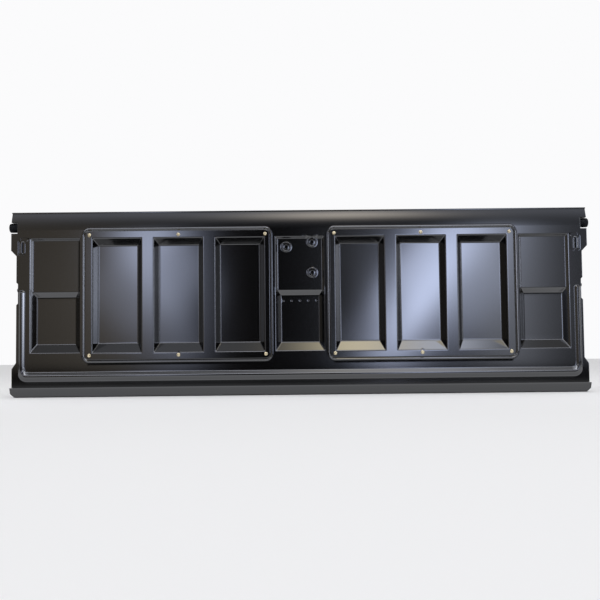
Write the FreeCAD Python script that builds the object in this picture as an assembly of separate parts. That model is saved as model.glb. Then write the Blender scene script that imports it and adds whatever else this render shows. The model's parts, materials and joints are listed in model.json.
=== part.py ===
import FreeCAD
import Part
import math
import os

# Pickup truck tailgate, bed side facing -Y, standing upright on its bottom rail.
# X runs along the gate, Z is up, and all sizes are millimetres.
# "Depth" is measured from the foremost plane of the gate, the crest of the bead, towards +Y.

# Overall form
GATE_HEIGHT = 528.0
RAIL_HALF = 829.0
NECK_STEP = 21.0
EAR_STEP = 15.5
EAR_TAPER = 2.5
EAR_HEIGHT = 110.0
EAR_SLOPE = 16.0
STUD_BAY_STEP = 4.5
STUD_BAY_ABOVE = 16.0
STUD_BAY_BELOW = 38.0
STUD_BAY_SLOPE = 5.0
LOWER_EAR_STEP = 12.0
LOWER_EAR_HEIGHT = 82.0
LOWER_EAR_SLOPE = 17.0

# Depths through the gate
BEAD_HEIGHT = 6.0
BOX_DEPTH = 45.0
CROWN = 5.0
LEAN_BACK = 6.0
LEAN_HEIGHT = 52.0

# Sheet thicknesses
PANEL_SHEET = 1.0
SKIN_SHEET = 0.8
COVER_SHEET = 1.0
RAIL_SHEET = 1.2
PLATE_SHEET = 2.5

# Bottom rail
RAIL_HEIGHT = 28.0
RAIL_SLOPE_BACK = 12.0
RAIL_END_CUT = 11.0

# Hems of the outer skin
SIDE_HEM = 9.0
TOP_HEM_FACE = 4.0

# Column recesses: two steps deep, one at each side and one in the centre
COLUMN_BELOW_TOP = 75.5
COLUMN_BOTTOM = 125.0
COLUMN_EDGE = 40.0
COLUMN_WIDTH = 142.0
CENTRE_COLUMN_HALF = 70.0
COLUMN_UPPER_DEPTH = 8.0
COLUMN_LOWER_DEPTH = 20.0
COLUMN_SIDE_DRAFT = 0.78
COLUMN_TOP_DRAFT = 0.95
COLUMN_BOTTOM_DRAFT = 1.25
LEDGE_BELOW_TOP = 229.5
LEDGE_DRAFT = 1.1

# Joggled recess for each access cover
COVER_TO_CENTRE_COLUMN = 14.5
COVER_TO_SIDE_COLUMN = 12.0
COVER_BELOW_TOP = 54.0
COVER_BOTTOM = 103.5
COVER_RADIUS = 15.0
COVER_SINK = 1.5
COVER_GAP = 1.0

# Pockets pressed into each cover
POCKET_COUNT = 3
POCKET_RIB = 34.5
POCKET_INNER_EDGE = 16.75
POCKET_OUTER_EDGE = 22.25
POCKET_TOP_EDGE = 22.0
POCKET_BOTTOM_EDGE = 21.0
POCKET_DEPTH = 24.0
POCKET_SIDE_RUN = 13.5
POCKET_TOP_RUN = 22.0
POCKET_BOTTOM_RUN = 24.0
OPENING_CLEARANCE = 1.6

# Cover screws
SCREW_INSET = 14.0
SCREW_SHANK = 5.0
SCREW_LENGTH = 12.0
SCREW_FLANGE = 10.0
SCREW_FLANGE_THICKNESS = 1.0
SCREW_HEAD = 7.6
SCREW_HEAD_HEIGHT = 2.6
SCREW_SOCKET = 3.6
SCREW_SOCKET_DEPTH = 1.6
SCREW_COVER_CLEARANCE = 0.6
SCREW_THREAD_CLEARANCE = 0.2

# Raised bead, a U along the foot and up both sides
BEAD_EDGE = 8.0
BEAD_SIDE_WIDTH = 17.5
BEAD_BOTTOM = 45.0
BEAD_FOOT_WIDTH = 26.0
BEAD_TOP_BELOW_STUD = 2.0
BEAD_RUN = 6.0
BEAD_FOOT_RADIUS = 18.0
BEAD_CREST_RADIUS = 1.0

# Slotted pads in the upper ears
PAD_EDGE = 13.5
PAD_BELOW_TOP = 102.0
PAD_WIDTH = 24.0
PAD_HEIGHT = 44.0
PAD_RISE = 1.5
SLOT_WIDTH = 10.0
SLOT_HEIGHT = 35.0

# Ringed holes in the centre column, as places across and below the column's top edge
RING_PLACES = {"upper_left": (-38.5, 30.0), "upper_right": (35.0, 16.5), "lower_right": (35.0, 104.0)}
RING_DIAMETER = 31.0
RING_RISE = 2.0
RING_HOLE = 11.0

# Rubber bumpers
BUMPER_BELOW_TOP = 45.0
BUMPER_BASE = 27.0
BUMPER_TIP = 20.0
BUMPER_LENGTH = 26.0
BUMPER_TIP_RADIUS = 2.5
BUMPER_STEM = 8.0
BUMPER_STEM_LENGTH = 8.0
BUMPER_FIT = 0.2
BAY_DEPTH = 17.5
BAY_CLEARANCE = 1.5

# Studs for the support cables
STUD_BELOW_TOP = 222.0
STUD_HEAD = 11.0
STUD_REACH = 6.5
STUD_CHAMFER = 1.0
STUD_SHANK = 8.0
STUD_SHANK_LENGTH = 14.0
STUD_FIT = 0.2

# Latch and hinge reinforcements
LATCH_BRACKET_EDGE = 19.5
LATCH_BRACKET_ABOVE_PAD = 38.0
LATCH_BRACKET_BELOW_PAD = 22.0
LATCH_SIDE_CLEARANCE = 3.0
LATCH_SIDE_DEPTH = 36.0
LATCH_NECK_CLEARANCE = 1.0
SLOT_MARGIN = 2.0
LATCH_BOLT = 7.0
LATCH_BOLT_ABOVE_PAD = 16.0
LATCH_BOLT_SPACING = 26.0
HINGE_PLATE_CLEARANCE = 2.0
HINGE_PLATE_DEPTH = 38.0
HINGE_PLATE_LEG = 22.0
HINGE_BOLT = 9.0
HINGE_BOLT_SPACING = 28.0
BOLT_DEPTH = 26.0

# Handle opening in the outer skin
HANDLE_WIDTH = 236.0
HANDLE_HEIGHT = 92.0
HANDLE_BELOW_TOP = 124.0
HANDLE_RADIUS = 14.0
HANDLE_LIP = 9.0

# Working allowance by which cuts run past the faces they open
OVER = 5.0

# Worked-out depths
FACE = BEAD_HEIGHT
BACK = FACE + BOX_DEPTH
TOTAL_DEPTH = BACK + CROWN
FRONT_Y = -TOTAL_DEPTH / 2.0
COVER_FACE = FACE + COVER_SINK
COVER_SEAT = COVER_FACE + COVER_SHEET

# Worked-out places along the gate
NECK_HALF = RAIL_HALF - NECK_STEP
EAR_HALF = NECK_HALF + EAR_STEP
STUD_BAY_HALF = NECK_HALF - STUD_BAY_STEP
LOWER_EAR_HALF = NECK_HALF + LOWER_EAR_STEP
BAY_WALL = EAR_HALF - BAY_DEPTH
COLUMN_OUTER = NECK_HALF - COLUMN_EDGE
COLUMN_INNER = COLUMN_OUTER - COLUMN_WIDTH
COVER_OUTER = COLUMN_INNER - COVER_TO_SIDE_COLUMN
COVER_INNER = CENTRE_COLUMN_HALF + COVER_TO_CENTRE_COLUMN
POCKETS_INNER = COVER_INNER + POCKET_INNER_EDGE
POCKETS_OUTER = COVER_OUTER - POCKET_OUTER_EDGE
POCKET_PITCH = (POCKETS_OUTER - POCKETS_INNER + POCKET_RIB) / POCKET_COUNT
POCKET_WIDTH = POCKET_PITCH - POCKET_RIB
BEAD_OUTER_HALF = NECK_HALF - BEAD_EDGE
PAD_X = NECK_HALF - PAD_EDGE
LATCH_BRACKET_INNER = PAD_X - LATCH_BRACKET_EDGE
SPAN = 2.0 * RAIL_HALF + 2.0 * OVER

# Worked-out heights
EAR_BOTTOM = GATE_HEIGHT - EAR_HEIGHT
NECK_TOP = EAR_BOTTOM - EAR_SLOPE
LEAN_START = GATE_HEIGHT - LEAN_HEIGHT
COLUMN_TOP = GATE_HEIGHT - COLUMN_BELOW_TOP
LEDGE_Z = GATE_HEIGHT - LEDGE_BELOW_TOP
COVER_TOP = GATE_HEIGHT - COVER_BELOW_TOP
POCKET_TOP = COVER_TOP - POCKET_TOP_EDGE
POCKET_BOTTOM = COVER_BOTTOM + POCKET_BOTTOM_EDGE
BUMPER_Z = GATE_HEIGHT - BUMPER_BELOW_TOP
BAY_LOW = BUMPER_Z - BUMPER_BASE / 2.0 - BAY_CLEARANCE
BAY_HIGH = BUMPER_Z + BUMPER_BASE / 2.0 + BAY_CLEARANCE
STUD_Z = GATE_HEIGHT - STUD_BELOW_TOP
STUD_BAY_TOP = STUD_Z + STUD_BAY_ABOVE
STUD_BAY_BOTTOM = STUD_Z - STUD_BAY_BELOW
BEAD_TOP = STUD_Z - BEAD_TOP_BELOW_STUD
PAD_Z = GATE_HEIGHT - PAD_BELOW_TOP
LATCH_BRACKET_TOP = PAD_Z + LATCH_BRACKET_ABOVE_PAD
LATCH_BRACKET_FOOT = PAD_Z - LATCH_BRACKET_BELOW_PAD
LATCH_SIDE_FOOT = EAR_BOTTOM + LATCH_SIDE_CLEARANCE
LATCH_BOLT_Z = PAD_Z + LATCH_BOLT_ABOVE_PAD
HINGE_PLATE_FOOT = RAIL_HEIGHT + PANEL_SHEET
HINGE_PLATE_TOP = LOWER_EAR_HEIGHT - HINGE_PLATE_CLEARANCE
HINGE_BOLT_Z = (RAIL_HEIGHT + LOWER_EAR_HEIGHT) / 2.0
HANDLE_Z = GATE_HEIGHT - HANDLE_BELOW_TOP

X_AXIS = FreeCAD.Vector(1, 0, 0)
Y_AXIS = FreeCAD.Vector(0, 1, 0)
ORIGIN = FreeCAD.Vector(0, 0, 0)


def point(x, depth, z):
    """A point of the gate, from its place along X, its depth and its height."""
    return FreeCAD.Vector(x, FRONT_Y + depth, z)


def box(x_from, x_to, start, stop, z_from, z_to):
    """A plain box between two places on each axis, with depths for Y."""
    size = (x_to - x_from, stop - start, z_to - z_from)
    return Part.makeBox(size[0], size[1], size[2], point(x_from, start, z_from))


def rounded_plate(x_from, x_to, z_from, z_to, radius, start, stop):
    """A box whose four edges along the depth are rounded."""
    plate = box(x_from, x_to, start, stop, z_from, z_to)
    edges = [edge for edge in plate.Edges if abs(edge.tangentAt(edge.FirstParameter).y) > 0.5]
    return plate.makeFillet(radius, edges)


def drum(x, z, diameter, start, stop):
    """A cylinder along the depth."""
    return Part.makeCylinder(diameter / 2.0, stop - start, point(x, start, z), Y_AXIS)


def side_drum(x, depth, z, diameter, length):
    """A cylinder that runs outwards along +X."""
    return Part.makeCylinder(diameter / 2.0, length, point(x, depth, z), X_AXIS)


def mirrored(shape):
    """The mirror image of a right-hand shape, for the left of the gate."""
    return shape.mirror(ORIGIN, X_AXIS)


def one_solid(shape):
    """The single solid of a finished shape, with its split faces joined."""
    return shape.removeSplitter().Solids[0]


class Taper:
    """A rectangle that narrows as it goes in from, or rises out of, a plane.

    The edges are left, right, low and high. Each side moves in by its own run over the reach,
    and direction is +1 into the gate or -1 out of it.
    """

    def __init__(self, edges, runs, plane, reach, direction=1.0):
        self.edges = edges
        self.runs = runs
        self.plane = plane
        self.reach = reach
        self.direction = direction

    def rectangle(self, travel, wall):
        """The rectangle after some travel, with its sides moved outwards by a wall thickness."""
        signs = (1.0, -1.0, 1.0, -1.0)
        placed = []
        for edge, run, sign in zip(self.edges, self.runs, signs):
            slant = math.hypot(self.reach, run) / self.reach
            placed.append(edge + sign * (run * travel / self.reach - wall * slant))
        return placed

    def block(self, start, stop, wall=0.0):
        """The solid between two distances of travel from the plane."""
        rings = []
        for travel in (start, stop):
            left, right, low, high = self.rectangle(travel, wall)
            depth = self.plane + self.direction * travel
            corners = ((left, low), (right, low), (right, high), (left, high))
            rings.append([point(x, depth, z) for x, z in corners])
        faces = [Part.Face(Part.makePolygon(ring + ring[:1])) for ring in rings]
        for here in range(4):
            there = (here + 1) % 4
            side = [rings[0][here], rings[0][there], rings[1][there], rings[1][here]]
            faces.append(Part.Face(Part.makePolygon(side + side[:1])))
        solid = Part.Solid(Part.makeShell(faces))
        if solid.Volume < 0:
            solid.reverse()
        return solid

    def hollow(self):
        """What a recess takes away, from in front of its plane to its floor."""
        return self.block(-OVER, self.reach)

    def backing(self, sheet):
        """The sheet behind a recess, as a block that the hollow is cut from."""
        return self.block(0.0, self.reach + sheet, sheet)

    def crest(self):
        """What a raised form adds in front of its plane."""
        return self.block(0.0, self.reach)

    def underside(self, sheet):
        """The hollow behind a raised form."""
        return self.block(-sheet - OVER, self.reach - sheet, -sheet)


def gate_prism(low, inset, start=-OVER, stop=None):
    """The gate's outline, moved in by an inset, as a prism through its depth above a given height."""
    stop = TOTAL_DEPTH + OVER if stop is None else stop
    foot = low - inset
    if foot < RAIL_HEIGHT - inset:
        right = [
            (RAIL_HALF - RAIL_END_CUT, foot),
            (RAIL_HALF, foot + RAIL_END_CUT),
            (RAIL_HALF, RAIL_HEIGHT),
            (LOWER_EAR_HALF, RAIL_HEIGHT),
        ]
    else:
        right = [(LOWER_EAR_HALF, foot)]
    right += [
        (LOWER_EAR_HALF, LOWER_EAR_HEIGHT),
        (NECK_HALF, LOWER_EAR_HEIGHT + LOWER_EAR_SLOPE),
        (NECK_HALF, STUD_BAY_BOTTOM - STUD_BAY_SLOPE),
        (STUD_BAY_HALF, STUD_BAY_BOTTOM),
        (STUD_BAY_HALF, STUD_BAY_TOP),
        (NECK_HALF, STUD_BAY_TOP + STUD_BAY_SLOPE),
        (NECK_HALF, NECK_TOP),
        (EAR_HALF, EAR_BOTTOM),
        (EAR_HALF, BAY_LOW),
        (BAY_WALL, BAY_LOW),
        (BAY_WALL, BAY_HIGH),
        (EAR_HALF, BAY_HIGH),
        (EAR_HALF - EAR_TAPER, GATE_HEIGHT),
    ]
    left = [(-x, z) for x, z in reversed(right)]
    ring = [point(x, start, z) for x, z in right + left]
    wire = Part.makePolygon(ring + ring[:1])
    if inset > 0:
        wire = wire.makeOffset2D(-inset, 2)
    return Part.Face(wire).extrude(Y_AXIS * (stop - start))


def cavity(inset):
    """The space inside the gate's outline, open at the foot between the ends of the rail."""
    half = RAIL_HALF - RAIL_END_CUT - inset * (math.sqrt(2.0) - 1.0)
    foot = box(-half, half, -OVER, TOTAL_DEPTH + OVER, -OVER, 2.0 * inset)
    return gate_prism(0.0, inset).fuse(foot)


def back_depth(z):
    """The depth of the crowned back of the gate at a height."""
    half = GATE_HEIGHT / 2.0
    radius = (half * half + CROWN * CROWN) / (2.0 * CROWN)
    return BACK + CROWN - radius + math.sqrt(radius * radius - (z - half) ** 2)


def face_depth(z):
    """The depth of the front face at a height, which leans back in the top band."""
    return FACE + LEAN_BACK * max(0.0, z - LEAN_START) / (GATE_HEIGHT - LEAN_START)


def extrude_profile(front_points, low, high, back_shift):
    """A profile along the whole gate, from its front points to the crowned back moved forward."""
    middle = (low + high) / 2.0
    front = [point(-SPAN / 2.0, depth, z) for depth, z in front_points]
    back = [point(-SPAN / 2.0, back_depth(z) - back_shift, z) for z in (high, middle, low)]
    edges = Part.makePolygon(front + back[:1]).Edges
    edges.append(Part.Arc(back[0], back[1], back[2]).toShape())
    edges.append(Part.makeLine(back[2], front[0]))
    return Part.Face(Part.Wire(edges)).extrude(X_AXIS * SPAN)


def body_profile(low, high, front_shift, back_shift):
    """The closed section of the gate between two heights, with its front and back moved."""
    front = [
        (face_depth(low) + front_shift, low),
        (FACE + front_shift, LEAN_START),
        (face_depth(high) + front_shift, high),
    ]
    return extrude_profile(front, low, high, back_shift)


def rail_profile(low, high, front_shift, back_shift):
    """The section of the bottom rail between two heights, with its sloping front moved back."""
    slope = RAIL_SLOPE_BACK / RAIL_HEIGHT
    front = [(FACE + slope * (RAIL_HEIGHT - z) + front_shift, z) for z in (low, high)]
    return extrude_profile(front, low, high, back_shift)


def slot_prism(centre_x, centre_z, width, height, start, stop):
    """An upright slot with round ends, through a range of depths."""
    reach = (height - width) / 2.0
    slot = box(centre_x - width / 2.0, centre_x + width / 2.0, start, stop,
               centre_z - reach, centre_z + reach)
    for z in (centre_z - reach, centre_z + reach):
        slot = slot.fuse(drum(centre_x, z, width, start, stop))
    return slot


def column_tapers(inner, outer):
    """The upper and lower steps of a column recess between two places along X."""
    ledge_drop = LEDGE_DRAFT * (COLUMN_LOWER_DEPTH - COLUMN_UPPER_DEPTH)
    lower_mouth = LEDGE_Z + LEDGE_DRAFT * COLUMN_UPPER_DEPTH
    lower_top_run = LEDGE_DRAFT * COLUMN_LOWER_DEPTH
    upper_low = LEDGE_Z - ledge_drop
    side = COLUMN_SIDE_DRAFT
    upper_runs = (
        side * COLUMN_UPPER_DEPTH,
        side * COLUMN_UPPER_DEPTH,
        0.0,
        COLUMN_TOP_DRAFT * COLUMN_UPPER_DEPTH,
    )
    lower_runs = (
        side * COLUMN_LOWER_DEPTH,
        side * COLUMN_LOWER_DEPTH,
        COLUMN_BOTTOM_DRAFT * COLUMN_LOWER_DEPTH,
        lower_top_run,
    )
    upper = Taper((inner, outer, upper_low, COLUMN_TOP), upper_runs, FACE, COLUMN_UPPER_DEPTH)
    lower = Taper((inner, outer, COLUMN_BOTTOM, lower_mouth), lower_runs, FACE, COLUMN_LOWER_DEPTH)
    return [upper, lower]


def rounded_wire(corners, radii):
    """A closed wire round an (x, z) polygon, each corner with its own radius, at zero depth."""
    flat = [point(x, 0.0, z) for x, z in corners]
    bends = []
    for index, radius in enumerate(radii):
        corner = flat[index]
        before = (flat[index - 1] - corner).normalize()
        after = (flat[(index + 1) % len(flat)] - corner).normalize()
        half_turn = before.getAngle(after) / 2.0
        reach = radius / math.tan(half_turn)
        middle = (before + after).normalize() * (radius / math.sin(half_turn) - radius)
        bends.append((corner + before * reach, corner + middle, corner + after * reach))
    edges = []
    for index, bend in enumerate(bends):
        edges.append(Part.Arc(*bend).toShape())
        edges.append(Part.makeLine(bend[2], bends[(index + 1) % len(bends)][0]))
    return Part.Wire(edges)


def bead(start, stop, wall):
    """The raised bead between two heights above the face, with its sides moved out by a wall.

    Its plan is a U, a wide leg along the foot and a narrower one up each side, and it shrinks
    evenly as it rises. The corner radii are those of the crest.
    """
    edge = BEAD_OUTER_HALF
    inside = edge - BEAD_SIDE_WIDTH
    low = BEAD_BOTTOM
    shoulder = low + BEAD_FOOT_WIDTH
    corners = [
        (-edge, low), (edge, low), (edge, BEAD_TOP), (inside, BEAD_TOP), (inside, shoulder),
        (-inside, shoulder), (-inside, BEAD_TOP), (-edge, BEAD_TOP),
    ]
    foot_radius = BEAD_RUN + BEAD_FOOT_RADIUS
    crest_radius = BEAD_RUN + BEAD_CREST_RADIUS
    plan = rounded_wire(corners, [foot_radius] * 2 + [crest_radius] * 6)
    slant = math.hypot(BEAD_HEIGHT, BEAD_RUN) / BEAD_HEIGHT
    wires = []
    for rise in (start, stop):
        wire = plan.makeOffset2D(wall * slant - BEAD_RUN * rise / BEAD_HEIGHT, 2)
        wire.translate(Y_AXIS * (FACE - rise))
        wires.append(wire)
    return Part.makeLoft(wires, True, True)


def pad_tapers():
    """The raised pad round the slot in each upper ear."""
    low = PAD_Z - PAD_HEIGHT / 2.0
    high = PAD_Z + PAD_HEIGHT / 2.0
    runs = (PAD_RISE,) * 4
    pads = []
    for side in (-1.0, 1.0):
        left = side * PAD_X - PAD_WIDTH / 2.0
        right = side * PAD_X + PAD_WIDTH / 2.0
        pads.append(Taper((left, right, low, high), runs, FACE, PAD_RISE, -1.0))
    return pads


def pocket_tapers():
    """The pockets of the right-hand cover, from the middle of the gate outwards."""
    runs = (POCKET_SIDE_RUN, POCKET_SIDE_RUN, POCKET_BOTTOM_RUN, POCKET_TOP_RUN)
    pockets = []
    for index in range(POCKET_COUNT):
        left = POCKETS_INNER + index * POCKET_PITCH
        right = left + POCKET_WIDTH
        edges = (left, right, POCKET_BOTTOM, POCKET_TOP)
        pockets.append(Taper(edges, runs, COVER_FACE, POCKET_DEPTH))
    return pockets


def cover_screw_places():
    """The screw places (name, x, z) on the right-hand cover."""
    along = {
        "inner": COVER_INNER + SCREW_INSET,
        "middle": (POCKETS_INNER + POCKETS_OUTER) / 2.0,
        "outer": COVER_OUTER - SCREW_INSET,
    }
    up = {"top": COVER_TOP - SCREW_INSET, "bottom": COVER_BOTTOM + SCREW_INSET}
    return [(f"{row}_{place}", x, z) for row, z in up.items() for place, x in along.items()]


def access_opening():
    """The opening of the right-hand recess, round all the pockets of its cover."""
    pockets = pocket_tapers()
    left = pockets[0].edges[0] - OPENING_CLEARANCE
    right = pockets[-1].edges[1] + OPENING_CLEARANCE
    low = POCKET_BOTTOM - OPENING_CLEARANCE
    high = POCKET_TOP + OPENING_CLEARANCE
    return box(left, right, FACE, COVER_SEAT + PANEL_SHEET + OVER, low, high)


def side_holes(diameter, wall_x, heights, fit=0.0):
    """Round holes through a right-hand side wall and what lies behind it."""
    holes = []
    for z in heights:
        reach = SKIN_SHEET + PANEL_SHEET + PLATE_SHEET + OVER
        holes.append(side_drum(wall_x - reach, BOLT_DEPTH, z, diameter + fit, reach + OVER))
    return holes


def latch_holes():
    """The bolt holes of the right-hand latch."""
    heights = (LATCH_BOLT_Z - LATCH_BOLT_SPACING / 2.0, LATCH_BOLT_Z + LATCH_BOLT_SPACING / 2.0)
    return side_holes(LATCH_BOLT, EAR_HALF, heights)


def hinge_holes():
    """The bolt holes of the right-hand hinge."""
    heights = (HINGE_BOLT_Z - HINGE_BOLT_SPACING / 2.0, HINGE_BOLT_Z + HINGE_BOLT_SPACING / 2.0)
    return side_holes(HINGE_BOLT, LOWER_EAR_HALF, heights)


def make_inner_panel():
    """The stamped inner panel: face, side walls, recesses, bead, pads and holes."""
    sheet = PANEL_SHEET
    top = GATE_HEIGHT - SKIN_SHEET
    outside = gate_prism(RAIL_HEIGHT, SKIN_SHEET).common(
        body_profile(RAIL_HEIGHT, top, 0.0, SKIN_SHEET))
    inside = gate_prism(RAIL_HEIGHT + sheet, SKIN_SHEET + sheet).common(
        body_profile(RAIL_HEIGHT + sheet, top - sheet, sheet, -CROWN))
    panel = outside.cut(inside)

    recesses = column_tapers(-CENTRE_COLUMN_HALF, CENTRE_COLUMN_HALF)
    recesses += column_tapers(COLUMN_INNER, COLUMN_OUTER)
    recesses += column_tapers(-COLUMN_OUTER, -COLUMN_INNER)
    raised = pad_tapers()
    joggle = rounded_plate(COVER_INNER - sheet, COVER_OUTER + sheet, COVER_BOTTOM - sheet,
                           COVER_TOP + sheet, COVER_RADIUS + sheet, FACE, COVER_SEAT + sheet)
    well = rounded_plate(COVER_INNER, COVER_OUTER, COVER_BOTTOM, COVER_TOP, COVER_RADIUS,
                         FACE - OVER, COVER_SEAT)

    added = [recess.backing(sheet) for recess in recesses]
    added += [form.crest() for form in raised]
    added += [bead(0.0, BEAD_HEIGHT, 0.0), joggle, mirrored(joggle)]
    panel = panel.fuse(added)

    removed = [recess.hollow() for recess in recesses]
    removed += [form.underside(sheet) for form in raised]
    removed += [bead(-sheet - OVER, BEAD_HEIGHT - sheet, -sheet), well, mirrored(well)]
    removed += [access_opening(), mirrored(access_opening())]
    panel = panel.cut(removed)

    floor = FACE + COLUMN_UPPER_DEPTH
    ring_places = [(x, COLUMN_TOP - drop) for x, drop in RING_PLACES.values()]
    panel = panel.fuse([drum(x, z, RING_DIAMETER, floor - RING_RISE, floor + sheet)
                        for x, z in ring_places])
    holes = []
    for x, z in ring_places:
        holes.append(drum(x, z, RING_DIAMETER - 2.0 * sheet, floor - RING_RISE + sheet, floor + OVER))
        holes.append(drum(x, z, RING_HOLE, floor - RING_RISE - OVER, floor + OVER))

    slot = slot_prism(PAD_X, PAD_Z, SLOT_WIDTH, SLOT_HEIGHT, FACE - PAD_RISE - OVER, FACE + OVER)
    right_side = [slot]
    right_side += latch_holes() + hinge_holes()
    right_side += side_holes(BUMPER_STEM, BAY_WALL, (BUMPER_Z,), BUMPER_FIT)
    right_side += side_holes(STUD_SHANK, STUD_BAY_HALF, (STUD_Z,), STUD_FIT)
    for _, x, z in cover_screw_places():
        thread = SCREW_SHANK + SCREW_THREAD_CLEARANCE
        right_side.append(drum(x, z, thread, COVER_SEAT - OVER, COVER_SEAT + sheet + OVER))
    holes += right_side + [mirrored(hole) for hole in right_side]
    return one_solid(panel.cut(holes))


def make_outer_panel():
    """The outer skin: crowned sheet, side and top hems, and the lipped handle opening."""
    low_cut = GATE_HEIGHT - TOP_HEM_FACE
    outside = gate_prism(0.0, 0.0).common(body_profile(0.0, GATE_HEIGHT, -SKIN_SHEET, 0.0))
    inside = cavity(SKIN_SHEET).common(
        body_profile(-OVER, GATE_HEIGHT - SKIN_SHEET, 0.0, SKIN_SHEET))
    skin = outside.cut(inside)
    reach = RAIL_HALF + OVER
    skin = skin.cut(box(-reach, reach, -OVER, BACK - SIDE_HEM, -OVER, low_cut))

    half = HANDLE_WIDTH / 2.0
    low = HANDLE_Z - HANDLE_HEIGHT / 2.0
    high = HANDLE_Z + HANDLE_HEIGHT / 2.0
    start = back_depth(high) - HANDLE_LIP
    lip = rounded_plate(-half - SKIN_SHEET, half + SKIN_SHEET, low - SKIN_SHEET, high + SKIN_SHEET,
                        HANDLE_RADIUS + SKIN_SHEET, start, TOTAL_DEPTH + OVER)
    lip = lip.common(body_profile(0.0, GATE_HEIGHT, 0.0, 0.0))
    opening = rounded_plate(-half, half, low, high, HANDLE_RADIUS, start - OVER, TOTAL_DEPTH + OVER)
    return one_solid(skin.fuse(lip).cut(opening))


def make_bottom_rail():
    """The folded rail along the foot, with its ends closed."""
    sheet = RAIL_SHEET
    outside = rail_profile(0.0, RAIL_HEIGHT, 0.0, SKIN_SHEET).common(cavity(SKIN_SHEET))
    inside = rail_profile(sheet, RAIL_HEIGHT - sheet, sheet, -CROWN).common(cavity(SKIN_SHEET + sheet))
    return one_solid(outside.cut(inside))


def make_right_cover():
    """The right-hand access cover: a sheet in its recess, with three pockets and six holes."""
    cover = rounded_plate(COVER_INNER + COVER_GAP, COVER_OUTER - COVER_GAP, COVER_BOTTOM + COVER_GAP,
                          COVER_TOP - COVER_GAP, COVER_RADIUS - COVER_GAP, COVER_FACE, COVER_SEAT)
    pockets = pocket_tapers()
    cover = cover.fuse([pocket.backing(COVER_SHEET) for pocket in pockets])
    holes = [drum(x, z, SCREW_SHANK + SCREW_COVER_CLEARANCE, COVER_FACE - OVER, COVER_SEAT + OVER)
             for _, x, z in cover_screw_places()]
    return one_solid(cover.cut([pocket.hollow() for pocket in pockets] + holes))


def make_cover_screw(x, z):
    """A flanged screw whose flange rests on a cover."""
    flange_front = COVER_FACE - SCREW_FLANGE_THICKNESS
    head_front = flange_front - SCREW_HEAD_HEIGHT
    screw = drum(x, z, SCREW_FLANGE, flange_front, COVER_FACE)
    head = drum(x, z, SCREW_HEAD, head_front, flange_front)
    rim = [edge for edge in head.Edges if edge.BoundBox.YMax < FRONT_Y + head_front + 0.1]
    head = head.makeFillet(SCREW_HEAD_HEIGHT / 2.0, rim)
    shank = drum(x, z, SCREW_SHANK, COVER_FACE, COVER_FACE + SCREW_LENGTH)
    socket = drum(x, z, SCREW_SOCKET, head_front - OVER, head_front + SCREW_SOCKET_DEPTH)
    return one_solid(screw.fuse([head, shank]).cut(socket))


def make_right_bumper():
    """The conical rubber bumper in the right-hand bay, with its stem through the wall."""
    seat = BAY_WALL - SKIN_SHEET
    cone = Part.makeCone(BUMPER_BASE / 2.0, BUMPER_TIP / 2.0, BUMPER_LENGTH,
                         point(seat, BOLT_DEPTH, BUMPER_Z), X_AXIS)
    tip = [edge for edge in cone.Edges if edge.BoundBox.XMin > seat + BUMPER_LENGTH - 0.1]
    cone = cone.makeFillet(BUMPER_TIP_RADIUS, tip)
    stem = side_drum(seat - BUMPER_STEM_LENGTH, BOLT_DEPTH, BUMPER_Z, BUMPER_STEM, BUMPER_STEM_LENGTH)
    return one_solid(cone.fuse(stem))


def make_right_stud():
    """The headed stud for the right-hand support cable, seated in its bay."""
    seat = STUD_BAY_HALF - SKIN_SHEET
    head = side_drum(seat, BOLT_DEPTH, STUD_Z, STUD_HEAD, STUD_REACH)
    rim = [edge for edge in head.Edges if edge.BoundBox.XMin > seat + STUD_REACH - 0.1]
    head = head.makeChamfer(STUD_CHAMFER, rim)
    shank = side_drum(seat - STUD_SHANK_LENGTH, BOLT_DEPTH, STUD_Z, STUD_SHANK, STUD_SHANK_LENGTH)
    return one_solid(head.fuse(shank))


def make_right_latch_bracket():
    """The folded bracket behind the right-hand slotted pad, against face and side wall."""
    front = FACE + PANEL_SHEET
    walls = SKIN_SHEET + PANEL_SHEET
    side = EAR_HALF - walls
    neck = NECK_HALF - walls - LATCH_NECK_CLEARANCE
    stop = front + LATCH_SIDE_DEPTH
    bracket = box(LATCH_BRACKET_INNER, neck, front, front + PLATE_SHEET,
                  LATCH_BRACKET_FOOT, LATCH_BRACKET_TOP)
    bracket = bracket.fuse([
        box(LATCH_BRACKET_INNER, side, front, front + PLATE_SHEET, LATCH_SIDE_FOOT, LATCH_BRACKET_TOP),
        box(side - PLATE_SHEET, side, front, stop, LATCH_SIDE_FOOT, LATCH_BRACKET_TOP),
    ])
    slot = slot_prism(PAD_X, PAD_Z, SLOT_WIDTH + SLOT_MARGIN, SLOT_HEIGHT + SLOT_MARGIN,
                      front - OVER, front + OVER)
    return one_solid(bracket.cut([slot] + latch_holes()))


def make_right_hinge_plate():
    """The angled plate behind the right-hand hinge bolt holes."""
    front = FACE + PANEL_SHEET
    side = LOWER_EAR_HALF - SKIN_SHEET - PANEL_SHEET
    plate = box(side - PLATE_SHEET, side, front, front + HINGE_PLATE_DEPTH,
                HINGE_PLATE_FOOT, HINGE_PLATE_TOP)
    leg = box(side - HINGE_PLATE_LEG, side, front, front + PLATE_SHEET,
              HINGE_PLATE_FOOT, HINGE_PLATE_TOP)
    return one_solid(plate.fuse(leg).cut(hinge_holes()))


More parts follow.
